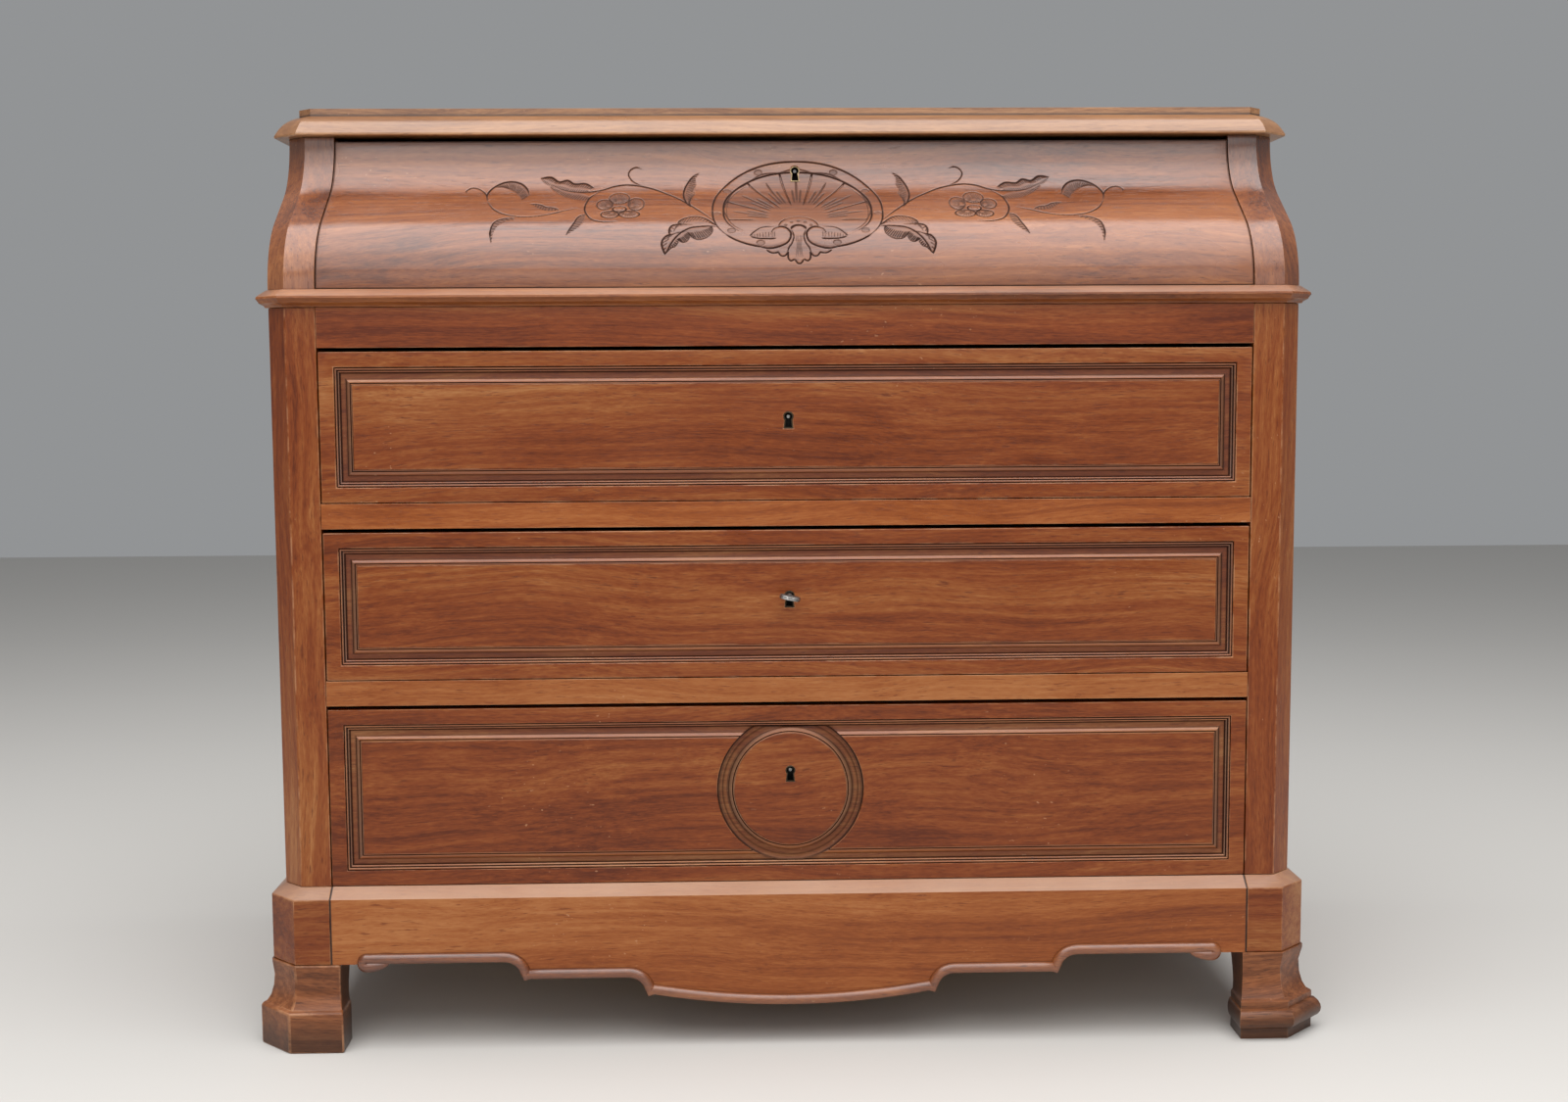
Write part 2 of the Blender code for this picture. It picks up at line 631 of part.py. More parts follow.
def make_feet():
    """Front feet and two moulded rear feet."""
    inner = HALF_OPENING - FOOT_INNER_STEP
    for word, side in SIDES.items():
        loft("front_foot_" + word, front_foot_rings(side), WALNUT_DARK)
        rings = []
        for offset, z in foot_profile(moulded=True):
            outer = HALF_CASE + offset
            front = BACK_Y - REAR_FOOT_DEPTH
            plan = [(inner, front), (outer, front), (outer, BACK_Y), (inner, BACK_Y)]
            rings.append(raised([(side * x, y) for x, y in plan], z))
        loft("rear_foot_" + word, rings, WALNUT_DARK)


# Locks
def bolt_slot(name, x, lock_back_y, low):
    """A cutter for the slot that a lock bolt rises into."""
    back = lock_back_y - LOCK_WALL - FIT + BOLT_PLAY
    half = BOLT_WIDTH / 2 + BOLT_PLAY
    return box(name, (x - half, back - BOLT_THICKNESS - 2 * BOLT_PLAY, low - BOLT_TRAVEL),
               (x + half, back, low + BOLT_TRAVEL + BOLT_PLAY))


def keyhole_loop(x, z, grow=0.0):
    """Outline of a keyhole: a round above a skirt that widens downwards."""
    radius = KEYHOLE_RADIUS + grow
    neck = KEYHOLE_NECK + grow
    start = -math.acos(neck / radius)
    loop = arc((x, z), radius, start, math.pi - start, KEYHOLE_STEPS)
    bottom = z - KEYHOLE_LENGTH - grow
    return loop + [(x - KEYHOLE_SKIRT - grow, bottom), (x + KEYHOLE_SKIRT + grow, bottom)]


def make_lock(word, x, keyhole_z, top_z, face_y, back_y):
    """Lock case with its drill pin, and the bolt that slides in it. The case is open to the front."""
    front_y = back_y - LOCK_THICKNESS
    half = LOCK_WIDTH / 2
    low_z = keyhole_z - LOCK_TAIL
    case = box(word + "_lock_case", (x - half, front_y, low_z), (x + half, back_y, top_z), STEEL)
    cut(case, box(word + "_lock_hollow", (x - half + LOCK_WALL, front_y - LOCK_WALL, low_z + LOCK_WALL),
                  (x + half - LOCK_WALL, back_y - LOCK_WALL, top_z - LOCK_WALL)))
    cut(case, bolt_slot(word + "_lock_slot", x, back_y, top_z))
    unite(case, cylinder(word + "_drill_pin", PIN_RADIUS, face_y + PIN_SETBACK, back_y - LOCK_WALL / 2,
                         x, keyhole_z))
    bolt_back = back_y - LOCK_WALL - FIT
    bolt = box(word + "_lock_bolt", (x - BOLT_WIDTH / 2, bolt_back - BOLT_THICKNESS, keyhole_z + BOLT_RISE),
               (x + BOLT_WIDTH / 2, bolt_back, top_z - FIT), STEEL)
    return case, bolt


def lock_recess(word, x, keyhole_z, top_z, back_y):
    """A cutter for the recess in a drawer front that takes the lock case."""
    half = LOCK_WIDTH / 2 + FIT
    return box(word + "_lock_recess",
               (x - half, back_y - LOCK_THICKNESS - FIT, keyhole_z - LOCK_TAIL - FIT),
               (x + half, back_y + OGEE_DEPTH, top_z + LOCK_THICKNESS))


def make_key(x, z, face_y, back_y):
    """The key in the middle drawer: bow, piped shank and bit, on the lock's axis."""
    bit_low = back_y - LOCK_THICKNESS + FIT
    shank_end = back_y - LOCK_WALL - 2 * FIT
    bow_y = -KEY_SHANK_OUT - KEY_BOW_LENGTH / 2
    shank_start = face_y - KEY_SHANK_OUT - KEY_BOW_RIM / 2
    key = cylinder("key", KEY_SHANK_RADIUS, shank_start, shank_end, x, z, STEEL)
    circle = arc((0.0, 0.0), 1.0, 0.0, math.tau, KEY_BOW_STEPS)[:-1]
    oval = [(KEY_BOW_WIDTH / 2 * u, bow_y + KEY_BOW_LENGTH / 2 * v) for u, v in circle]
    shrink_x = 1 - 2 * KEY_BOW_RIM / KEY_BOW_WIDTH
    shrink_y = 1 - 2 * KEY_BOW_RIM / KEY_BOW_LENGTH
    eye = [(u * shrink_x, bow_y + (v - bow_y) * shrink_y) for u, v in oval]
    half = KEY_BOW_THICKNESS / 2
    loops = [[(x + u, face_y + v) for u, v in loop] for loop in (oval, eye)]
    bow = outline("key_bow", loops, "Z", z - half, z + half)
    bit = box("key_bit", (x - KEY_BIT_REACH, bit_low, z - KEY_BIT_THICKNESS / 2),
              (x - KEY_SHANK_RADIUS / 2, shank_end - FIT, z + KEY_BIT_THICKNESS / 2))
    unite(key, bow)
    unite(key, bit)
    cut(key, cylinder("key_bore", KEY_BORE_RADIUS, face_y + PIN_SETBACK - FIT * 4, back_y, x, z))
    pivot = carry([key, bow, bit, bpy.data.objects["key_bore"]], "key_pivot", (x, face_y, z))
    pivot.rotation_euler = (0.0, KEY_TILT, 0.0)
    return key


# Drawers
def tail_loops(low, high, root_y, grow):
    """Dovetail outlines as (y, z) at the front end of a drawer side."""
    pitch = (high - low) / DOVETAIL_COUNT
    base = pitch / 4
    tip_y = root_y - DOVETAIL_LENGTH
    loops = []
    for index in range(DOVETAIL_COUNT):
        middle = low + pitch * (index + 0.5)
        wide = base + DOVETAIL_FLARE + grow
        loops.append([(root_y, middle - base - grow), (tip_y - grow, middle - wide),
                      (tip_y - grow, middle + wide), (root_y, middle + base + grow)])
    return loops


def drawer_rest(word, low, high, inside_y, side_loop, floor_y, front):
    """Sides, bottom and back of a drawer, and the grooves that hold the bottom."""
    half = HALF_OPENING - DRAWER_GAP_SIDE
    inner = half - DRAWER_SIDE_THICKNESS
    side_low = low + FIT
    bottom_low = side_low + BOTTOM_LIFT
    bottom_high = bottom_low + BOTTOM_THICKNESS
    reach = inner + GROOVE_DEPTH
    groove = box(word + "_groove", (-reach - FIT, floor_y - FIT, bottom_low - FIT),
                 (reach + FIT, DRAWER_END_Y + GROOVE_DEPTH, bottom_high + FIT))
    cut(front, groove)
    pieces = [front]
    for side_word, side in SIDES.items():
        span = sorted((side * half, side * inner))
        board = outline(word + "_drawer_side_" + side_word, [side_loop], "X", span[0], span[1], INNER_WOOD)
        cut(board, groove)
        pieces.append(board)
    pieces.append(box(word + "_drawer_bottom", (-reach, floor_y, bottom_low),
                      (reach, DRAWER_END_Y, bottom_high), INNER_WOOD))
    pieces.append(box(word + "_drawer_back",
                      (-inner + FIT, DRAWER_END_Y - DRAWER_BACK_THICKNESS, bottom_high + FIT),
                      (inner - FIT, DRAWER_END_Y, high - DRAWER_GAP_ABOVE - DRAWER_SIDE_DROP), INNER_WOOD))
    carry(pieces, word + "_drawer_slide", (0.0, inside_y, low))


def panel_cutter(word, low, high, ring):
    """A cutter for the sunk moulding round the panel, with a ring in its middle where asked."""
    half = HALF_OPENING - DRAWER_GAP_SIDE - PANEL_BORDER
    bottom, top = low + PANEL_BORDER, high - PANEL_BORDER
    loops = [[(-half, bottom), (half, bottom), (half, top), (-half, top)]]
    x, z0, z1 = half - PANEL_CHANNEL, bottom + PANEL_CHANNEL, top - PANEL_CHANNEL
    if not ring:
        loops.append([(-x, z0), (x, z0), (x, z1), (-x, z1)])
    else:
        middle = (0.0, (z0 + z1) / 2 + RING_CENTRE_RAISE)
        start = math.asin((z0 - middle[1]) / RING_RADIUS)
        end = math.asin((z1 - middle[1]) / RING_RADIUS)
        curve = arc(middle, RING_RADIUS, start, end, RING_STEPS // 3)
        loops.append(curve + [(x, z1), (x, z0)])
        loops.append([(-u, v) for u, v in curve] + [(-x, z1), (-x, z0)])
        loops.append(arc(middle, RING_RADIUS - PANEL_CHANNEL, 0.0, math.tau, RING_STEPS)[:-1])
    return outline(word + "_panel_channel", loops, "Y", FACE_Y - PANEL_SINK, FACE_Y + PANEL_SINK)


def make_panel_drawer(word, low, high, ring=False):
    """One of the flat drawers, its lock and its keyhole liner."""
    half = HALF_OPENING - DRAWER_GAP_SIDE
    bottom, top = low + DRAWER_GAP_BELOW, high - DRAWER_GAP_ABOVE
    back_y = FACE_Y + FRONT_THICKNESS
    keyhole_z = top - KEYHOLE_DROP
    front = box(word + "_drawer_front", (-half, FACE_Y, bottom), (half, back_y, top), WALNUT)
    cut(front, panel_cutter(word, bottom, top, ring), "MANIFOLD")
    side_low, side_high = low + FIT, top - DRAWER_SIDE_DROP
    tails = tail_loops(side_low, side_high, back_y + FIT, 0.0)
    loop = [(DRAWER_END_Y, side_high), (DRAWER_END_Y, side_low), (back_y + FIT, side_low)]
    for tail in tails:
        loop += tail
    loop.append((back_y + FIT, side_high))
    for side_word, side in SIDES.items():
        span = sorted((side * (half - DRAWER_SIDE_THICKNESS - FIT), side * (half + DRAWER_SIDE_THICKNESS)))
        sockets = outline(word + "_sockets_" + side_word,
                          tail_loops(side_low, side_high, back_y + 2 * FIT, FIT), "X", *span)
        cut(front, sockets)
    cut(front, lock_recess(word, 0.0, keyhole_z, top, back_y))
    cut(front, outline(word + "_keyhole", [keyhole_loop(0.0, keyhole_z, LINER_WALL + FIT)], "Y",
                       FACE_Y - LINER_DEPTH, back_y))
    drawer_rest(word, low, high, FACE_Y, loop, back_y - GROOVE_DEPTH, front)
    loops = [keyhole_loop(0.0, keyhole_z, LINER_WALL), keyhole_loop(0.0, keyhole_z)]
    liner = outline(word + "_keyhole_liner", loops, "Y", FACE_Y, FACE_Y + LINER_DEPTH, BRASS)
    lock = make_lock(word, 0.0, keyhole_z, top, FACE_Y, back_y)
    carry([liner, lock[0]], word + "_lock_seat", (0.0, FACE_Y, keyhole_z))
    carry([lock[1]], word + "_bolt_slide", (0.0, back_y, keyhole_z))
    return keyhole_z


def make_ogee_drawer():
    """The top drawer, whose front follows the ogee at an even thickness."""
    word = "top"
    x = TOP_KEYHOLE_OFFSET
    half = HALF_OPENING - DRAWER_GAP_SIDE
    bottom, top = OGEE_Z + DRAWER_GAP_BELOW, SOFFIT_Z - TOP_GAP_ABOVE
    keyhole_z = top - TOP_KEYHOLE_DROP

    def trimmed(shift):
        inside = [(y, z) for y, z in ogee_points(shift) if bottom < z < top]
        return [(ogee_y(bottom, shift), bottom)] + inside + [(ogee_y(top, shift), top)]

    face, inner = trimmed(0.0), trimmed(OGEE_FRONT_THICKNESS)
    front = outline(word + "_drawer_front", [face + list(reversed(inner))], "X", -half, half, WALNUT)
    back_y = FACE_Y + OGEE_DEPTH + OGEE_FRONT_THICKNESS
    cut(front, lock_recess(word, x, keyhole_z, top, back_y))
    cut(front, outline(word + "_keyhole", [keyhole_loop(x, keyhole_z, LINER_WALL + FIT)], "Y",
                       FACE_Y, back_y))
    side_low, side_high = OGEE_Z + FIT, top - DRAWER_SIDE_DROP
    edge = [(y, z) for y, z in ogee_points(OGEE_FRONT_THICKNESS + FIT) if side_low < z < side_high]
    edge = [(ogee_y(side_low, OGEE_FRONT_THICKNESS + FIT), side_low)] + edge
    edge.append((ogee_y(side_high, OGEE_FRONT_THICKNESS + FIT), side_high))
    loop = edge + [(DRAWER_END_Y, side_high), (DRAWER_END_Y, side_low)]
    drawer_rest(word, OGEE_Z, SOFFIT_Z, FACE_Y, loop, FACE_Y + OGEE_FRONT_THICKNESS - GROOVE_DEPTH, front)
    loops = [keyhole_loop(x, keyhole_z, LINER_WALL), keyhole_loop(x, keyhole_z)]
    liner = outline(word + "_keyhole_liner", loops, "Y", FACE_Y + OGEE_DEPTH / 2, FACE_Y + OGEE_DEPTH + FIT,
                    BRASS)
    air = ogee_points() + [(FACE_Y - OGEE_DEPTH, SOFFIT_Z), (FACE_Y - OGEE_DEPTH, OGEE_Z)]
    cut(liner, outline(word + "_liner_face", [air], "X", x - LOCK_WIDTH, x + LOCK_WIDTH))
    case, bolt = make_lock(word, x, keyhole_z, top, ogee_y(keyhole_z), back_y)
    carry([liner, case], word + "_lock_seat", (x, FACE_Y, keyhole_z))
    carry([bolt], word + "_bolt_slide", (x, back_y, keyhole_z))
    cut(bpy.data.objects["top_board"], bolt_slot("top_board_bolt_slot", x, back_y, SOFFIT_Z))


make_top()
make_waist()
make_posts()
make_ogee_posts()
make_case_boards()
make_rails()
make_plinth()
make_apron()
make_feet()
make_ogee_drawer()
make_panel_drawer("upper", UPPER_Z, UPPER_TOP_Z)
key_height = make_panel_drawer("middle", MIDDLE_Z, MIDDLE_TOP_Z)
make_panel_drawer("lower", LOWER_Z, LOWER_TOP_Z, ring=True)
make_key(0.0, key_height, FACE_Y, FACE_Y + FRONT_THICKNESS)
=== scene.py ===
"""Looks of the walnut chest of drawers: mouldings, carving, finishes, light and camera.

Units are metres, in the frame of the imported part: +X to the right, +Y to the back, +Z up.
"""
import itertools
import math

import bpy
import numpy as np
from mathutils import Matrix, Vector
from mathutils.geometry import delaunay_2d_cdt


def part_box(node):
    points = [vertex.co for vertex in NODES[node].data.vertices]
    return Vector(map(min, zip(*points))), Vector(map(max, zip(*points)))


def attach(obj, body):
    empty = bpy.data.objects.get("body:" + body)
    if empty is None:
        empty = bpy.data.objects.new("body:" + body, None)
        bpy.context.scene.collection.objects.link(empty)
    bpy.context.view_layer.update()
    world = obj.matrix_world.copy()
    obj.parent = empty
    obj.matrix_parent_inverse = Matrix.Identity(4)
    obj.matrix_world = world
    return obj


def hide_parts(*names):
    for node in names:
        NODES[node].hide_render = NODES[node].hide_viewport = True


MM = 0.001

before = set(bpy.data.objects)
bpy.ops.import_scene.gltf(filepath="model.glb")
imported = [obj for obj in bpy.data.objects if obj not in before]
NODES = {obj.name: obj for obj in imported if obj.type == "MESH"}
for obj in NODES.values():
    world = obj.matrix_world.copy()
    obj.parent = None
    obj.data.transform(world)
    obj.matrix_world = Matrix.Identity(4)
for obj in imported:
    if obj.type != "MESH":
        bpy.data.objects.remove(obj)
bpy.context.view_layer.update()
WORDS = ("top", "upper", "middle", "lower")

# Front faces and the ogee, as in the part
FACE_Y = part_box("front_post_left")[0].y
OGEE_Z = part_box("waist_board")[1].z
FRONT_LOW, FRONT_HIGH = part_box("top_drawer_front")
OGEE_DEPTH = 0.133
OGEE_LOWER_RADIUS = 0.097
OGEE_UPPER_RADIUS = 0.0895
OGEE_SLOPE = math.radians(56)
OGEE_FOOT = 0.0005
OGEE_STEPS = 40


# Shader nodes
def node(tree, kind, inputs=None, **settings):
    """A shader node, with values or links for its inputs."""
    made = tree.nodes.new("ShaderNode" + kind)
    for key, value in settings.items():
        setattr(made, key, value)
    for key, value in (inputs or {}).items():
        if isinstance(value, bpy.types.NodeSocket):
            tree.links.new(value, made.inputs[key])
        else:
            made.inputs[key].default_value = value
    return made


def maths(tree, operation, first, second=0.0, third=0.0, clamp=False):
    """Output of a Math node."""
    made = node(tree, "Math", {0: first, 1: second, 2: third}, operation=operation, use_clamp=clamp)
    return made.outputs[0]


def times(tree, first, second):
    """Product of two values."""
    return maths(tree, "MULTIPLY", first, second)


def vector_maths(tree, operation, first, second):
    """Output of a Vector Math node."""
    return node(tree, "VectorMath", {0: first, 1: second}, operation=operation).outputs[0]


def mix(tree, share, first, second):
    """Output of a colour mix."""
    return node(tree, "Mix", {0: share, 6: first, 7: second}, data_type="RGBA").outputs[2]


def band(tree, value, low, high):
    """Smooth step from 0 at low to 1 at high."""
    return node(tree, "MapRange", {"Value": value, "From Min": low, "From Max": high},
                interpolation_type="SMOOTHSTEP").outputs["Result"]


def noise(tree, vector, scale, detail=2.0, roughness=0.5):
    """Outputs of a noise texture over a vector that is stretched by three factors."""
    stretched = vector_maths(tree, "MULTIPLY", vector, scale)
    settings = {"Vector": stretched, "Scale": 1.0, "Detail": detail, "Roughness": roughness}
    return node(tree, "TexNoise", settings).outputs


def geometry(tree, kind):
    """The X, Y and Z of a point's place or facing."""
    return node(tree, "SeparateXYZ", {0: node(tree, "NewGeometry").outputs[kind]}).outputs


def attribute(tree, name):
    """A named mark on the points of a piece."""
    return node(tree, "Attribute", attribute_name=name).outputs["Fac"]


def centred(tree, value, gain):
    """A noise value about 0, times a gain."""
    return maths(tree, "MULTIPLY_ADD", value, gain, -0.5 * gain)


def colour(values):
    """A colour with full alpha."""
    return (*values, 1.0)


def shade(tones, gain):
    """The same tones, all lighter or darker by one gain."""
    return tuple(tuple(gain * part for part in tone) for tone in tones)


# Colours of the woods: dark figure, body, light body and golden streaks
WALNUT = ((0.096, 0.016, 0.002), (0.196, 0.041, 0.006), (0.262, 0.076, 0.016), (0.365, 0.146, 0.046))
WALNUT_OGEE = ((0.080, 0.019, 0.006), (0.185, 0.050, 0.012), (0.255, 0.078, 0.019), (0.370, 0.135, 0.040))
WALNUT_PALE = ((0.165, 0.064, 0.022), (0.330, 0.148, 0.054), (0.440, 0.215, 0.088), (0.520, 0.275, 0.125))
WALNUT_GOLD = ((0.160, 0.033, 0.006), (0.270, 0.068, 0.012), (0.345, 0.106, 0.025), (0.430, 0.162, 0.050))
WALNUT_FOOT = ((0.055, 0.018, 0.008), (0.140, 0.043, 0.015), (0.240, 0.080, 0.028), (0.330, 0.128, 0.050))
DEAL = ((0.300, 0.175, 0.085), (0.430, 0.275, 0.145), (0.500, 0.340, 0.190), (0.560, 0.400, 0.240))
# Dark of wax and painted shade in hollows, creases and under the top
WAX_AND_SHADE = (0.016, 0.006, 0.004)
# Light of worn wood, also a painted highlight on the soft edges
WORN_AND_HIGHLIGHT = (0.470, 0.235, 0.120)
# Pale pinkish film of dust, also a painted sheen of the light on upward faces
DUST_AND_SHEEN = (0.500, 0.330, 0.235)
# Dark of stains on the feet, also used as painted shade on their inner faces
FOOT_STAIN_AND_SHADE = (0.030, 0.014, 0.009)

# Dirt and painted shade: between which values each fades in, and its share
FOOT_INWARD_SHADE, FOOT_INWARD_SHADE_SHARE = (-0.6, -0.9), 0.6
FOOT_LOW, FOOT_LOW_SHARE, FOOT_LOW_SPREAD = (0.05, 0.005), 0.75, -0.11
JOINT_LINE = (0.0025, 0.0012)
TOP_FILLET = 0.0085
TOP_LINE = (0.0022, 0.0006)
# Painted shade on the top's sloping faces: the upward facing where it begins and ends, and its share
TOP_SLOPE_SHADE, TOP_SLOPE_SHADE_SHARE = (0.1, 0.5), 0.45
# Painted shadow under the top's overhang: heights where it fades in, its share and how far it wavers
OVERHANG_SHADOW, OVERHANG_SHADOW_SHARE, OVERHANG_SHADOW_SPREAD = (1.030, 1.085), 0.32, 0.02
# Painted shade on moulding runs that face sideways: the facing where it begins and ends, and its share
SIDEWAYS_SHADE, SIDE_SHADE_SHARE = (0.1, 0.45), 0.45


def foot_dirt(tree, base, spots):
    """Darken a foot near the floor with stains, and paint shade on the faces turned to the middle of the chest.
    """
    place = geometry(tree, "Position")
    inward = times(tree, geometry(tree, "True Normal")["X"], maths(tree, "SIGN", place["X"]))
    # Painted shade on the faces turned in, under the chest
    share = times(tree, band(tree, inward, *FOOT_INWARD_SHADE), FOOT_INWARD_SHADE_SHARE)
    base = mix(tree, share, base, colour(FOOT_STAIN_AND_SHADE))
    low = maths(tree, "ADD", place["Z"], centred(tree, spots, FOOT_LOW_SPREAD))
    share = times(tree, band(tree, low, *FOOT_LOW), FOOT_LOW_SHARE)
    return mix(tree, share, base, colour(FOOT_STAIN_AND_SHADE))


def joint_dirt(tree, base, _):
    """Darken the two ends of the apron, along its joints with the blocks."""
    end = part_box("apron_rail")[1].x
    out = maths(tree, "ABSOLUTE", geometry(tree, "Position")["X"])
    return mix(tree, band(tree, out, end - JOINT_LINE[0], end - JOINT_LINE[1]), base, colour(WAX_AND_SHADE))


def top_dirt(tree, base, spots):
    """Paint shade on the top's sloping faces, and darken a line along the corner under its fillet."""
    # Painted shade on the faces that slope up
    upward = band(tree, geometry(tree, "True Normal")["Z"], *TOP_SLOPE_SHADE)
    base = mix(tree, times(tree, upward, TOP_SLOPE_SHADE_SHARE), base, colour(WALNUT_PALE[0]))
    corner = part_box("top_board")[1].z - TOP_FILLET
    gap = maths(tree, "ABSOLUTE", maths(tree, "SUBTRACT", geometry(tree, "Position")["Z"], corner))
    share = times(tree, band(tree, gap, *TOP_LINE), maths(tree, "MULTIPLY_ADD", spots, 0.5, 0.5))
    return mix(tree, share, base, colour(WAX_AND_SHADE))


def hollow_dirt(tree, base, spots):
    """Paint shadow on the upper part of the ogee, under the top's overhang."""
    height = maths(tree, "ADD", geometry(tree, "Position")["Z"], centred(tree, spots, OVERHANG_SHADOW_SPREAD))
    return mix(tree, times(tree, band(tree, height, *OVERHANG_SHADOW), OVERHANG_SHADOW_SHARE), base, colour(WAX_AND_SHADE))


def side_dirt(tree, base, spots):
    """Paint shade on the runs of a moulding that face sideways."""
    sideways = band(tree, maths(tree, "ABSOLUTE", geometry(tree, "True Normal")["X"]), *SIDEWAYS_SHADE)
    share = times(tree, sideways, maths(tree, "MULTIPLY_ADD", spots, 0.5, SIDE_SHADE_SHARE))
    return mix(tree, share, base, colour(WAX_AND_SHADE))


# Rotations that bring each grain direction to the X axis of the texture
GRAIN = {"X": (0.0, 0.0, 0.0), "Y": (0.0, 0.0, math.pi / 2), "Z": (0.0, math.pi / 2, 0.0)}
SEED_SHIFT = (1.37, 0.71, 0.43)

# Noises of the wood: stretch along and across the grain, detail and roughness
SWAY = ((1.7, 3.4, 3.4), 2.0)
SWAY_REACH = (0.0, 0.10, 0.10)
BROAD = ((0.7, 11.0, 11.0), 2.0, 0.5)
LINES = ((1.7, 150.0, 150.0), 4.0, 0.65)
MOTTLE = ((6.0, 10.0, 10.0), 3.0, 0.6)
FLECKS = ((75.0, 640.0, 640.0), 2.0, 0.6)
PORES = ((38.0, 560.0, 560.0), 2.0, 0.6)
SPECKS = ((170.0, 260.0, 260.0), 1.0)
SPECK_FIELDS = ((6.0, 6.0, 6.0), 2.0)
CHIPS = ((28.0, 28.0, 28.0), 4.0, 0.7)

# How far each noise moves the tone, where the four colours lie on it, and where marks begin and end
BROAD_GAIN, LINES_GAIN, MOTTLE_GAIN, FLECKS_GAIN = 1.15, 1.0, 0.35, 0.55
TONE_STOPS = (0.12, 0.42, 0.64, 0.92)
PORE_BAND, PORE_SHARE = (0.60, 0.70), 0.7
SPECK_BAND, SPECK_FIELD_BAND, SPECK_SHARE = (0.73, 0.77), (0.52, 0.66), 0.6
# Dust and painted sheen: the upward facing where it begins and ends, and how much it varies
DUST_SHEEN_BAND, DUST_SHEEN_SPREAD = (0.4, 0.75), 0.6
CHIP_BAND = (0.38, 0.66)
# How much the wax and painted shade darken, roughen and dull
WAX_AND_SHADE_SHARE, WAX_ROUGHNESS, WAX_DULLING = 0.95, 0.4, -0.9
WEAR_SHARE = 0.5
GLOSS_SPREAD = 0.22


def grain_flow(tree, place, axis, seed):
    """The wood's own place along its grain, straight and swaying."""
    shift = tuple(seed * step for step in SEED_SHIFT)
    settings = {"Vector": place, "Rotation": GRAIN[axis], "Location": shift}
    grain = node(tree, "Mapping", settings).outputs[0]
    sway = vector_maths(tree, "SUBTRACT", noise(tree, grain, *SWAY)["Color"], (0.5, 0.5, 0.5))
    sway = vector_maths(tree, "MULTIPLY", sway, SWAY_REACH)
    return grain, vector_maths(tree, "ADD", grain, sway)


def figure(tree, flow, lines, mottle, tones):
    """Colour of the bare wood from its noises."""
    broad = noise(tree, flow, *BROAD)["Fac"]
    flecks = noise(tree, flow, *FLECKS)["Fac"]
    tone = maths(tree, "ADD", centred(tree, broad, BROAD_GAIN), centred(tree, lines, LINES_GAIN))
    tone = maths(tree, "ADD", tone, centred(tree, mottle, MOTTLE_GAIN))
    tone = maths(tree, "ADD", maths(tree, "ADD", tone, centred(tree, flecks, FLECKS_GAIN)), 0.5)
    ramp = node(tree, "ValToRGB", {"Fac": tone})
    stops = ramp.color_ramp.elements
    stops[0].position, stops[1].position = TONE_STOPS[0], TONE_STOPS[3]
    for position in TONE_STOPS[1:3]:
        stops.new(position)
    for stop, values in zip(stops, tones):
        stop.color = colour(values)
    return ramp.outputs["Color"]


def speckled(tree, base, place, grain):
    """Small pale specks, in some fields of the wood."""
    specks = band(tree, noise(tree, grain, *SPECKS)["Fac"], *SPECK_BAND)
    fields = band(tree, noise(tree, place, *SPECK_FIELDS)["Fac"], *SPECK_FIELD_BAND)
    return mix(tree, times(tree, times(tree, specks, fields), SPECK_SHARE), base, colour(WORN_AND_HIGHLIGHT))


def dusty(tree, base, mottle, dust):
    """Dust with a painted sheen on the faces that look up."""
    upward = band(tree, geometry(tree, "True Normal")["Z"], *DUST_SHEEN_BAND)
    spread = maths(tree, "MULTIPLY_ADD", mottle, DUST_SHEEN_SPREAD, dust - DUST_SHEEN_SPREAD / 2)
    return mix(tree, times(tree, upward, spread), base, colour(DUST_AND_SHEEN))


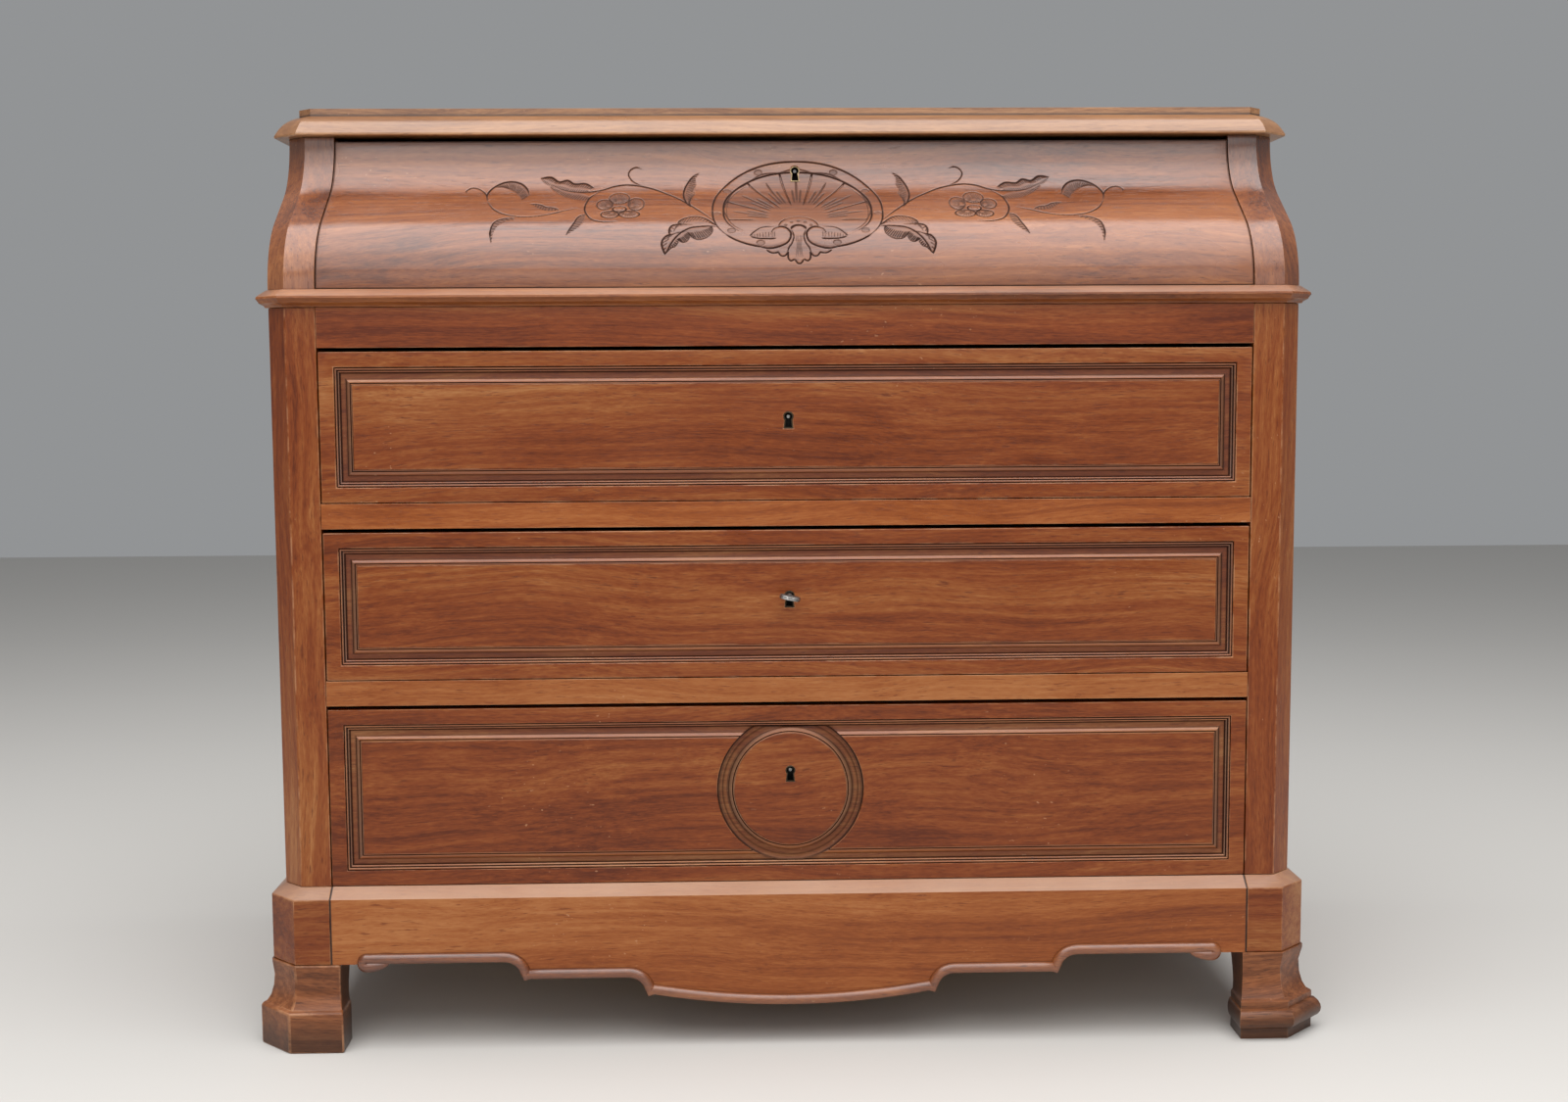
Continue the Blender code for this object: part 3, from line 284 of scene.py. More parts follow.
def wood(name, tones, axis, seed, gloss=0.31, shine=0.32, dust=0.0, edge=0.0, dirt=None):
    """Polished wood: figure, growth lines, pores, waxed recesses with painted shade and, on edges, wear with a
    painted highlight.
    """
    material = bpy.data.materials.new(name)
    material.use_nodes = True
    tree = material.node_tree
    shader = tree.nodes["Principled BSDF"].inputs
    place = node(tree, "TexCoord").outputs["Object"]
    grain, flow = grain_flow(tree, place, axis, seed)
    lines = noise(tree, flow, *LINES)["Fac"]
    mottle = noise(tree, grain, *MOTTLE)["Fac"]
    pores = band(tree, noise(tree, flow, *PORES)["Fac"], *PORE_BAND)
    base = figure(tree, flow, lines, mottle, tones)
    base = mix(tree, times(tree, pores, PORE_SHARE), base, colour(tones[0]))
    base = speckled(tree, base, place, grain)
    if dust:
        base = dusty(tree, base, mottle, dust)
    # Dirt, stains and painted shade that each piece is given
    if dirt:
        base = dirt(tree, base, mottle)
    # Wax and painted shade in hollows and creases, with a painted shadow line along the carved front's border
    wax_and_shade = attribute(tree, "wax_and_shade")
    base = mix(tree, maths(tree, "MULTIPLY", wax_and_shade, WAX_AND_SHADE_SHARE, clamp=True), base, colour(WAX_AND_SHADE))
    wear_and_highlight = maths(tree, "MULTIPLY", attribute(tree, "wear"), WEAR_SHARE, clamp=True)
    # On soft edges, patchy wear that is also a painted highlight
    if edge:
        wear_and_highlight = times(tree, band(tree, noise(tree, place, *CHIPS)["Fac"], *CHIP_BAND), edge)
    tree.links.new(mix(tree, wear_and_highlight, base, colour(WORN_AND_HIGHLIGHT)), shader["Base Color"])
    dull = maths(tree, "MULTIPLY_ADD", wax_and_shade, WAX_ROUGHNESS, gloss)
    tree.links.new(maths(tree, "ADD", centred(tree, mottle, GLOSS_SPREAD), dull), shader["Roughness"])
    level = maths(tree, "MULTIPLY_ADD", wax_and_shade, WAX_DULLING * shine, shine, clamp=True)
    tree.links.new(level, shader["Specular IOR Level"])
    height = maths(tree, "SUBTRACT", times(tree, lines, 0.6), times(tree, pores, 0.5))
    bump = node(tree, "Bump", {"Height": height, "Strength": 0.3, "Distance": 0.0004})
    tree.links.new(bump.outputs["Normal"], shader["Normal"])
    return material


# Old metal: its spots, and how much duller some of them are
METAL_SPOTS = ((260.0, 260.0, 260.0), 4.0, 0.65)
METAL_BAND, METAL_DULL = (0.35, 0.7), 0.45
METAL_SPREAD = 0.25
IRON_BASE = (0.36, 0.35, 0.33)
LOCK_BLACK = (0.035, 0.033, 0.030)
PIN_BRIGHT = 0.003
PIN_FADE = 0.004


def metal(name, base, rough):
    """Old metal with a mottled, partly dull face."""
    material = bpy.data.materials.new(name)
    material.use_nodes = True
    tree = material.node_tree
    shader = tree.nodes["Principled BSDF"].inputs
    shader["Metallic"].default_value = 1.0
    spots = noise(tree, node(tree, "TexCoord").outputs["Object"], *METAL_SPOTS)["Fac"]
    dull = tuple(METAL_DULL * value for value in base)
    face = mix(tree, band(tree, spots, *METAL_BAND), colour(dull), colour(base))
    tree.links.new(face, shader["Base Color"])
    level = maths(tree, "MULTIPLY_ADD", spots, METAL_SPREAD, rough - 0.1)
    tree.links.new(level, shader["Roughness"])
    bump = node(tree, "Bump", {"Height": spots, "Strength": 0.3, "Distance": 0.0002})
    tree.links.new(bump.outputs["Normal"], shader["Normal"])
    return material


def lock_iron(word):
    """Blackened iron of a lock, with the tip of its drill pin rubbed bright."""
    material = metal(word + "_lock_iron", IRON_BASE, 0.45)
    tree = material.node_tree
    face = tree.nodes["Principled BSDF"].inputs["Base Color"]
    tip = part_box(word + "_lock_case")[0].y
    place = node(tree, "TexCoord").outputs["Object"]
    depth = node(tree, "SeparateXYZ", {0: place}).outputs["Y"]
    within = band(tree, depth, tip + PIN_BRIGHT, tip + PIN_BRIGHT + PIN_FADE)
    tree.links.new(mix(tree, within, face.links[0].from_socket, colour(LOCK_BLACK)), face)
    return material


BRASS = metal("brass_old", (0.36, 0.27, 0.15), 0.45)
TARNISHED = metal("brass_tarnished", (0.10, 0.075, 0.05), 0.5)
IRON = metal("iron_old", IRON_BASE, 0.40)
STEEL = metal("steel_worn", (0.62, 0.59, 0.57), 0.32)


# Pieces
def piece(name, points, faces, material, body, marks=None, sharp=40):
    """A mesh that rides on a body, with named marks on its points, such as wax with painted shade, and wear."""
    mesh = bpy.data.meshes.new(name)
    mesh.from_pydata([tuple(point) for point in points], [], faces)
    mesh.validate()
    for mark, values in (marks or {}).items():
        data = mesh.attributes.new(mark, "FLOAT", "POINT").data
        data.foreach_set("value", np.asarray(values, np.float32))
    mesh.materials.append(material)
    mesh.shade_smooth()
    mesh.set_sharp_from_angle(angle=math.radians(sharp))
    made = bpy.data.objects.new(name, mesh)
    bpy.context.scene.collection.objects.link(made)
    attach(made, body)
    return made


def tube(loops, closed):
    """Faces between loops of equal length, each a closed section, with caps unless the run is closed."""
    count = len(loops[0])
    faces = []
    turns = len(loops) if closed else len(loops) - 1
    for turn in range(turns):
        here, there = turn * count, (turn + 1) % len(loops) * count
        for point in range(count):
            after = (point + 1) % count
            faces.append((here + point, there + point, there + after, here + after))
    if not closed:
        faces.append(tuple(range(count)))
        faces.append(tuple(reversed(range((len(loops) - 1) * count, len(loops) * count))))
    return [point for loop in loops for point in loop], faces


# Sunk moulding of the panels: way in from the border and height against the front in millimetres, wax with
# painted shade in the hollows, and wear
PANEL_EDGE = 0.018
MOULDING_FLOOR = -4.97
BEAD_PART = (
    (0.15, -1.6, 1.0, 0.0), (1.2, -2.0, 1.0, 0.0),
    (1.4, -0.7, 0.2, 0.3), (2.2, -0.8, 0.0, 0.4), (2.9, -1.4, 0.1, 0.3),
    (3.1, -2.9, 1.0, 0.0), (4.3, -3.2, 1.0, 0.0),
    (4.5, -2.4, 0.1, 0.3), (5.2, -2.7, 0.0, 0.3), (5.8, -3.4, 0.1, 0.1),
    (6.0, -4.5, 1.0, 0.0), (7.1, -4.9, 0.9, 0.0),
)
PANEL_LIP = ((18.2, -1.6, 1.0, 0.0), (19.2, -1.6, 1.0, 0.0), (19.4, -0.4, 0.1, 0.3), (20.35, -0.05, 0.0, 0.3))
COVE_PART = (
    (7.1, -4.9, 0.9, 0.0), (8.0, -4.95, 0.45, 0.0), (11.0, -4.9, 0.35, 0.0), (12.8, -4.5, 0.35, 0.0),
    (13.8, -3.8, 0.8, 0.0), (14.2, -2.9, 0.3, 0.1), (15.1, -2.15, 0.0, 0.3), (16.3, -1.4, 0.0, 0.4),
    (17.5, -0.75, 0.0, 0.4), (18.0, -0.6, 0.1, 0.2), *PANEL_LIP,
)
RING_PART = (
    (0.15, -2.6, 0.8, 0.0), (1.2, -3.4, 0.8, 0.0), (2.2, -4.1, 0.5, 0.0), (4.2, -4.7, 0.5, 0.0),
    (5.6, -4.9, 0.5, 0.0), (6.4, -4.7, 0.75, 0.0), (7.2, -4.9, 0.75, 0.0), (9.0, -4.9, 0.5, 0.0),
    (11.5, -4.8, 0.5, 0.0), (13.2, -4.2, 0.5, 0.0), (13.9, -3.7, 0.7, 0.0), (14.2, -2.9, 0.4, 0.1),
    (15.1, -2.15, 0.3, 0.3), (16.3, -1.4, 0.3, 0.4), (17.5, -0.75, 0.2, 0.4), (18.0, -0.6, 0.3, 0.2),
    *PANEL_LIP,
)
RING_RADIUS = 0.088
RING_RAISE = 0.0055
RING_STEPS = 120
MOULDING_SHARP = 35


def closed_section(part):
    """A moulding's section with its flat underside."""
    return part + ((part[-1][0], MOULDING_FLOOR, 1.0, 0.0), (part[0][0], MOULDING_FLOOR, 1.0, 0.0))


def moulding(name, body, corners, part, material, closed=True):
    """Sweep a section along a path, where corners(way in) gives the path's points as (x, z)."""
    section = closed_section(part)
    paths = [corners(way * MM) for way, _, _, _ in section]
    loops = []
    for index in range(len(paths[0])):
        loops.append([(path[index][0], FACE_Y - height * MM, path[index][1])
                      for path, (_, height, _, _) in zip(paths, section)])
    points, faces = tube(loops, closed)
    marks = {mark: [row[column] for row in section] * len(loops) for mark, column in (("wax_and_shade", 2), ("wear", 3))}
    return piece(name, points, faces, material, body, marks, MOULDING_SHARP)


def panel(word, material, ring):
    """The sunk moulding of one drawer front."""
    low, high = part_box(word + "_drawer_front")
    right, bottom, top = high.x - PANEL_EDGE, low.z + PANEL_EDGE, high.z - PANEL_EDGE
    body = word + "_drawer"

    def whole(way):
        out, low_z, high_z = right - way, bottom + way, top - way
        return [(-out, low_z), (out, low_z), (out, high_z), (-out, high_z)]

    if not ring:
        moulding(word + "_panel_moulding", body, whole, BEAD_PART + COVE_PART[1:], material)
        return
    middle = (bottom + top) / 2 + RING_RAISE
    moulding(word + "_panel_bead", body, whole, BEAD_PART, material)

    def meet(z):
        return math.sqrt(max(RING_RADIUS ** 2 - (z - middle) ** 2, 0.0))

    for side_word, side in (("left", -1), ("right", 1)):
        def half(way, side=side):
            low_z, high_z, out = bottom + way, top - way, right - way
            run = [(meet(low_z), low_z), (out, low_z), (out, high_z), (meet(high_z), high_z)]
            return [(side * x, z) for x, z in run]
        moulding(word + "_panel_moulding_" + side_word, body, half, COVE_PART, material, closed=False)
    bead = BEAD_PART[-1][0] * MM

    def circle(way):
        points = []
        for step in range(RING_STEPS):
            turn = math.tau * step / RING_STEPS
            rise = math.sin(turn)
            room = RING_RADIUS - way
            if rise > 0:
                room = min(room, (top - bead - middle) / rise)
            if rise < 0:
                room = min(room, (bottom + bead - middle) / rise)
            points.append((room * math.cos(turn), middle + room * rise))
        return points

    moulding(word + "_panel_ring", body, circle, RING_PART, material)


# Carving on the ogee front: (distance out from the middle, way up the front), in millimetres
MIDDLE = 14.0
RING_WAY = 117.0
RING_OUTER = (101.5, 94.5, 71.0)
RING_INNER = (88.5, 79.0, 58.0)
RING_THREAD = (84.5, 75.0, 55.0)
RING_FULLNESS = (2.25, 2.8)
RING_FEET = {-1: (1.42, 1.2), 1: (1.58, 1.8)}
PELLETS = ((46, 196), (84, 163), (96, 108), (79, 73), (45, 54))
SHELL_EYE = (0, 93)
RAYS = ((20, 195, 0.3), (59, 179, 0.3), (84, 138, 0.35), (82, 95, 0.6))
ARCH = (78, 23.5, 22.5)
ARCH_PELLETS = ((0, 90), (8, 88), (15, 82))
KNOB = (74, 8.7, 8.0)
VOLUTE = ((31, 61), (32.5, 66.5), (31.5, 72), (27.5, 77.5), (21, 79.5), (15, 77.5), (10, 71), (9.5, 63),
          (13, 55), (21.5, 49.5), (34, 46.5), (45, 48))
POCKET_TOP = ((57.5, 64.5), (53.5, 70), (45.5, 77.5), (37, 80), (29, 80))
POCKET_LOW = ((56, 63), (47, 60.5), (35.5, 60), (27, 60))
PALMETTE_STEM = ((8, 73), (6, 63), (8, 54), (12, 47), (14, 40))
LOBES = (((-5, 32), (-2.5, 28), (0, 27), (2.5, 28), (5, 32)), ((13, 42), (13, 34), (10, 30.5), (5.5, 32.5)),
         ((13.5, 41), (16.5, 37), (21.5, 37), (25, 42)), ((25, 41), (32, 40.5), (38, 44)))
STEM = ((97, 88), (113, 110), (130, 131), (147, 149), (173, 168), (200, 176), (219, 174), (236, 166),
        (254, 162), (272, 163), (286, 169), (298, 178))
CURL = ((188, 175.5), (198, 182), (204, 193), (201, 201), (194, 204), (187, 201))
SPIRAL = ((236, 165), (249, 148), (254, 121), (246, 98), (231, 90), (213, 91.5))
STEM_TWO = ((262, 123), (279, 116.5), (296, 108), (313, 103.5), (331, 103), (349, 109), (363, 122),
            (371, 140))
CRESCENT = ((371, 140), (373, 156), (368, 170), (358, 179), (346, 182.5), (334, 179), (326, 169), (322, 154))
CRESCENT_EDGE = ((355, 174), (344, 165), (336, 154), (331, 143))
CURL_TWO = ((373, 151), (377, 162), (385, 169.5), (393, 171), (399, 164.5), (396, 159))
FLOWER_EYE = (212.5, 120.5, 8.2, 6.5)
PETALS = ((200.5, 108, 12, 8.5), (223.5, 107.5, 10.5, 8.5), (193, 132, 9.5, 15), (230.5, 131, 9.5, 12),
          (213.5, 146, 12, 13.5))
RING_LEAF = ((127, 123), (133, 136), (136.5, 152), (135.5, 168), (131, 181), (125, 190.5), (118, 196))
RING_LEAF_EDGE = ((132, 140), (127, 147), (122, 158), (124, 166), (121, 176), (122, 187), (118, 195))
LEAF_VALLEYS = ((246, 171), (269, 178), (288, 182), (310, 188))
LEAF_LOW = ((254, 162), (272, 163), (286, 169), (298, 174), (305, 179), (310, 188))
UNDER_LEAF = ((298, 173), (291, 161), (280, 150), (268, 143), (251, 141))
UNDER_LEAF_TOP = ((298, 173), (286, 168), (272, 161), (258, 158), (250, 152))
LOW_LEAF_TOPS = (
    ((157, 39), (160.5, 49.5), (160, 58), (155, 65), (148.5, 67)),
    ((152, 68), (152, 76), (148, 83), (138, 85.5)),
    ((142, 87), (140, 92), (133, 98.5), (121, 102), (111, 98), (98, 83)),
)
LOW_LEAF_VEIN = ((94, 79), (104, 81), (117, 80), (127, 78), (136, 72), (142, 65.5), (147, 58.5), (151, 51),
                 (157, 39))
LOW_LEAF_LOWS = (
    ((101.5, 79), (102, 70), (107, 63), (114, 59.5), (122, 60), (128, 65)),
    ((128, 63), (131, 57), (136, 55), (141, 57.5)),
    ((141, 56), (145, 49.5), (150, 47), (157, 39)),
)
SPRAYS = {
    "drop": (((252, 108), (258, 105), (262, 98), (265, 87), (273, 67)),
             ((252, 108), (252, 97), (256, 84), (263, 75), (273, 67))),
    "bud": (((284, 118), (291, 124), (300, 126), (308, 132), (319, 134)),
            ((284, 118), (296, 115.5), (307, 120), (313, 127), (319, 134))),
    "tail": (((335, 101), (346, 99), (355, 94), (360, 86), (362, 70), (360, 56)),
             ((335, 96), (345, 92), (352, 85), (357, 74), (359, 64), (360, 56))),
}

# Skin of the front: where it is carved, how fine its grid is, and how thick it is from its border in
CARVED_X = (-390.0, 418.0)
CARVED_WAY = (22.0, 215.0)
FINE = 0.75
COARSE = 9.0
SKIN = 1.3
SKIN_BASE = 0.12
SKIN_TAPER = 22.0
SKIN_EDGE = 0.3
SKIN_LIP = 1.6
# Painted shadow line along the skin's border: its darkness at the edge and the width over which it fades
BORDER_SHADOW, BORDER_SHADOW_WIDTH = 1.4, 1.2
STROKE = 1.05
CARVING_SHARP = 60
BATCH = 60
KEYHOLE_X = 13.0
KEYHOLE_Z = 1.049


def ogee_line():
    """The ogee front from its lower edge, as rows of (way, y, z, outward y, outward z)."""
    lower_z = OGEE_Z + OGEE_FOOT
    radii = OGEE_LOWER_RADIUS + OGEE_UPPER_RADIUS
    straight = OGEE_DEPTH - radii * (1 - math.cos(OGEE_SLOPE))
    upper_z = lower_z + radii * math.sin(OGEE_SLOPE) + straight / math.tan(OGEE_SLOPE)
    rows = [(FACE_Y, FRONT_LOW.z, 0.0)]
    for step in range(OGEE_STEPS + 1):
        turn = OGEE_SLOPE * step / OGEE_STEPS
        rows.append((FACE_Y + OGEE_LOWER_RADIUS * (1 - math.cos(turn)),
                     lower_z + OGEE_LOWER_RADIUS * math.sin(turn), turn))
    top_turn = math.asin((upper_z - FRONT_HIGH.z) / OGEE_UPPER_RADIUS)
    for step in range(OGEE_STEPS + 1):
        turn = OGEE_SLOPE + (top_turn - OGEE_SLOPE) * step / OGEE_STEPS
        rows.append((FACE_Y + OGEE_DEPTH - OGEE_UPPER_RADIUS * (1 - math.cos(turn)),
                     upper_z - OGEE_UPPER_RADIUS * math.sin(turn), turn))
    y, z, turn = np.array(rows).T
    way = np.concatenate([[0.0], np.cumsum(np.hypot(np.diff(y), np.diff(z)))])
    return way / MM, y, z, turn


WAY, WAY_Y, WAY_Z, WAY_TURN = ogee_line()


def on_ogee(x, way, out):
    """Points on the ogee front from millimetres along it, raised by out."""
    y, z, turn = (np.interp(way, WAY, column) for column in (WAY_Y, WAY_Z, WAY_TURN))
    return np.stack([x * MM, y - np.cos(turn) * out * MM, z + np.sin(turn) * out * MM], -1)


def rounded(points, spacing=0.6):
    """A smooth line through points, evenly sampled."""
    points = np.array(points, float)
    count = len(points)
    line = []
    for span in range(count - 1):
        p0, p1, p2, p3 = points[[min(max(near, 0), count - 1) for near in range(span - 1, span + 3)]]
        steps = max(2, int(np.hypot(*(p2 - p1)) / spacing))
        t = (np.arange(steps) / steps)[:, None]
        line.append(0.5 * (2 * p1 + (p2 - p0) * t + (2 * p0 - 5 * p1 + 4 * p2 - p3) * t ** 2
                           + (3 * p1 - p0 - 3 * p2 + p3) * t ** 3))
    line.append(points[-1:])
    return np.concatenate(line)


class Carving:
    """Depths, and wax with painted shade, over a grid on the front, cut by grooves."""

    def __init__(self, x, way):
        self.x, self.way = np.meshgrid(x, way)
        self.depth = np.zeros_like(self.x)
        self.lift = np.zeros_like(self.x)
        self.wax_and_shade = np.zeros_like(self.x)
        self.columns, self.rows = x, way

    def window(self, line, reach):
        """Slices of the grid that a line can touch."""
        low, high = line.min(0) - reach, line.max(0) + reach
        columns = slice(*np.searchsorted(self.columns, (low[0], high[0])))
        rows = slice(*np.searchsorted(self.rows, (low[1], high[1])))
        return rows, columns

    def groove(self, line, width, depth, taper=(0.35, 0.35), wax_and_shade=1.0):
        """Cut a groove with soft edges along a line, narrower towards its ends."""
        width = width * STROKE
        here = self.window(line, width)
        x, way = self.x[here], self.way[here]
        if x.size == 0:
            return
        share = np.linspace(0.0, 1.0, len(line))
        full = np.minimum(1.0, np.minimum(taper[0] + share * 4, taper[1] + (1 - share) * 4))
        best = np.zeros_like(x)
        for start in range(0, len(line), BATCH):
            part, size = line[start:start + BATCH], full[start:start + BATCH]
            gap = np.hypot(x[..., None] - part[:, 0], way[..., None] - part[:, 1])
            best = np.maximum(best, (np.clip(1 - gap / (width / 2 * size), 0, 1) * size).max(-1))
        self.depth[here] = np.maximum(self.depth[here], best * best * (3 - 2 * best) * depth)
        self.wax_and_shade[here] = np.maximum(self.wax_and_shade[here], np.clip(best * 2.6, 0, 1) * wax_and_shade)

    def hatch(self, start, end, count, reach, width, depth, lean, wax_and_shade):
        """Short grooves between two lines, from one share of the way across to another."""
        for step in range(count):
            share = (step + 0.5) / count
            first = start[int(share * (len(start) - 1))]
            last = end[int(min(max(share + lean, 0.0), 1.0) * (len(end) - 1))]
            ways = [reach[0] + (reach[1] - reach[0]) * way for way in np.linspace(0, 1, 12)]
            self.groove(np.array([first + (last - first) * way for way in ways]), width, depth, (0.3, 0.5), wax_and_shade)

    def body(self, outline, lift, wax_and_shade=0.0, soft=1.5):
        """Raise, or lower, the ground inside a closed outline."""
        here = self.window(outline, soft)
        x, way = self.x[here], self.way[here]
        if x.size == 0:
            return
        inside = np.zeros(x.shape, bool)
        ahead = np.roll(outline, -1, 0)
        for (x0, w0), (x1, w1) in zip(outline, ahead):
            if w0 != w1:
                cross = ((w0 > way) != (w1 > way)) & (x < (x1 - x0) * (way - w0) / (w1 - w0) + x0)
                inside ^= cross
        near = np.full(x.shape, 1e9)
        for start in range(0, len(outline), BATCH):
            part = outline[start:start + BATCH]
            near = np.minimum(near, np.hypot(x[..., None] - part[:, 0], way[..., None] - part[:, 1]).min(-1))
        share = np.where(inside, np.clip(near / soft, 0, 1), 0)
        self.lift[here] = np.where(share > 0, lift * share, self.lift[here])
        self.wax_and_shade[here] = np.maximum(self.wax_and_shade[here], share * wax_and_shade)


def oval(x, way, wide, high, start=0.0, end=math.tau, count=40):
    """An oval line, or a part of one between two angles."""
    turn = np.linspace(start, end, count)
    return np.stack([x + wide * np.cos(turn), way + high * np.sin(turn)], -1)


def ring(size, start=0.0, end=math.tau, count=400):
    """The shell's ring: a full oval, blunter below than above."""
    wide, rise, drop = size
    turn = np.linspace(start, end, count)
    power = 2 / np.where(np.sin(turn) > 0, *RING_FULLNESS)
    across, along = np.cos(turn), np.sin(turn)
    x = MIDDLE + wide * np.sign(across) * abs(across) ** power
    return np.stack([x, RING_WAY + np.where(along > 0, rise, -drop) * abs(along) ** power], -1)


def on_side(points, side):
    """A smooth line on one side of the middle: -1 is left and 1 is right."""
    return rounded([(MIDDLE + side * out, way) for out, way in points])


def scallops(valleys, bulge):
    """A run of arcs between points, each bulging to its left."""
    line = []
    for (x0, w0), (x1, w1) in zip(valleys, valleys[1:]):
        run = math.hypot(x1 - x0, w1 - w0)
        line += [(x0, w0), ((x0 + x1) / 2 - bulge * (w1 - w0) / run, (w0 + w1) / 2 + bulge * (x1 - x0) / run)]
    return line + [valleys[-1]]


# The cuts: a groove's width and depth in millimetres, the share left at its two ends, and its wax with painted
# shade
def carve_shell(cut):
    """The ring with its pellets, and the rays of the shell inside it."""
    outer, inner = ring(RING_OUTER), ring(RING_INNER)
    cut.body(outer, 0.25, 0.13, 3.0)
    cut.body(inner, -0.6, 0.2, 6.0)
    eye = np.array((MIDDLE + SHELL_EYE[0], SHELL_EYE[1]))
    ends = []
    for side, (out, way, start) in itertools.product((-1, 1), RAYS):
        end = np.array((MIDDLE + side * out, way))
        ends.append(end)
        cut.groove(np.linspace(eye + (end - eye) * start, end, 120), 3.0, 1.0, (0.1, 0.9), 1.0)
    ends.sort(key=lambda end: math.atan2(end[1] - eye[1], end[0] - eye[0]))
    for end, after in zip(ends, ends[1:]):
        for share in (0.32, 0.5, 0.68):
            tip = end + (after - end) * share
            reach = 0.72 + 0.2 * (share == 0.5)
            rib = np.linspace(eye + (tip - eye) * 0.4, eye + (tip - eye) * reach, 90)
            cut.groove(rib, 3.4, 0.6, (0.2, 0.6), 0.75)
        cut.groove(rounded([end, eye + (end + after - 2 * eye) * 0.53, after]), 2.4, 0.8, (0.9, 0.9), 0.8)
    cut.groove(ring(RING_OUTER, -0.22 * math.pi, 1.22 * math.pi), 2.8, 1.0, (0.5, 0.5))
    cut.groove(ring(RING_INNER, -0.24 * math.pi, 1.24 * math.pi), 3.0, 1.1, (0.5, 0.5))
    for side in (-1, 1):
        middle = math.pi / 2 - side * math.pi / 2
        cut.groove(ring(RING_THREAD, middle - 0.9, middle + 0.9), 1.6, 0.6, (0.3, 0.3), 0.7)
        start, end = RING_FEET[side]
        cut.groove(ring(RING_OUTER, start * math.pi, end * math.pi), 2.6, 1.0)
        for out, way in PELLETS:
            cut.body(oval(MIDDLE + side * out, way, 5.0, 4.0), -0.3, 0.35, 1.5)
            cut.groove(oval(MIDDLE + side * out, way, 4.4, 3.6), 1.7, 0.6, (1.0, 1.0), 0.6)


def carve_palmette(cut):
    """The arch, the two volutes under the shell and the palmette between them."""
    way, wide, high = ARCH
    cut.body(oval(MIDDLE, way, wide, high), 0.5, 0.0, 3.0)
    cut.groove(oval(MIDDLE, way, wide, high, 0, math.pi, 90), 2.8, 1.0)
    way, wide, high = KNOB
    cut.groove(oval(MIDDLE, way, wide, high, 0, math.pi, 60), 4.2, 1.2)
    for side in (-1, 1):
        volute, top, low = (on_side(line, side) for line in (VOLUTE, POCKET_TOP, POCKET_LOW))
        cut.body(np.concatenate([top, low[::-1]]), -0.3, 0.22, 2.0)
        cut.body(volute, 0.7, 0.0, 4.0)
        cut.hatch(low, top, 9, (0.1, 0.55), 1.6, 0.5, 0.1, 0.7)
        cut.groove(top, 2.4, 0.9, (0.6, 0.2))
        cut.groove(low, 2.8, 1.0, (0.6, 0.5))
        cut.groove(volute, 2.8, 1.0, (0.1, 0.5))
        cut.groove(on_side(PALMETTE_STEM, side), 2.2, 0.8)
        for lobe in LOBES:
            cut.groove(on_side(lobe, side), 2.4, 0.9, (0.6, 0.6))
        for out in (1.5, 4.0):
            cut.groove(on_side(((out, 68), (out * 0.6, 50), (out, 34)), side), 1.8, 0.5, (0.2, 0.3), 0.5)
        for out, way in ARCH_PELLETS:
            cut.groove(oval(MIDDLE + side * out, way, 1.2, 1.4), 2.0, 0.6, (1.0, 1.0), 0.7)


def carve_flower(cut, side):
    """Five petals round an eye."""
    out, way, wide, high = FLOWER_EYE
    x = MIDDLE + side * out
    for petal_out, petal_way, petal_wide, petal_high in PETALS:
        petal_x = MIDDLE + side * petal_out
        rim = oval(petal_x, petal_way, petal_wide, petal_high)
        cut.body(rim, 0.5, 0.22, 4.0)
        cut.groove(rim, 2.4, 0.9, (1.0, 1.0))
        heart = np.repeat([[(petal_x * 2 + x) / 3, (petal_way * 2 + way) / 3]], len(rim), 0)
        cut.hatch(rim, heart, 18, (0.1, 0.75), 1.6, 0.5, 0.0, 0.75)
    eye = oval(x, way, wide, high)
    cut.body(eye, 0.6, 0.0, 2.5)
    cut.groove(eye, 2.6, 0.9, (1.0, 1.0))
    cut.groove(oval(x, way, wide / 2, high / 2), 1.4, 0.5, (1.0, 1.0), 0.7)


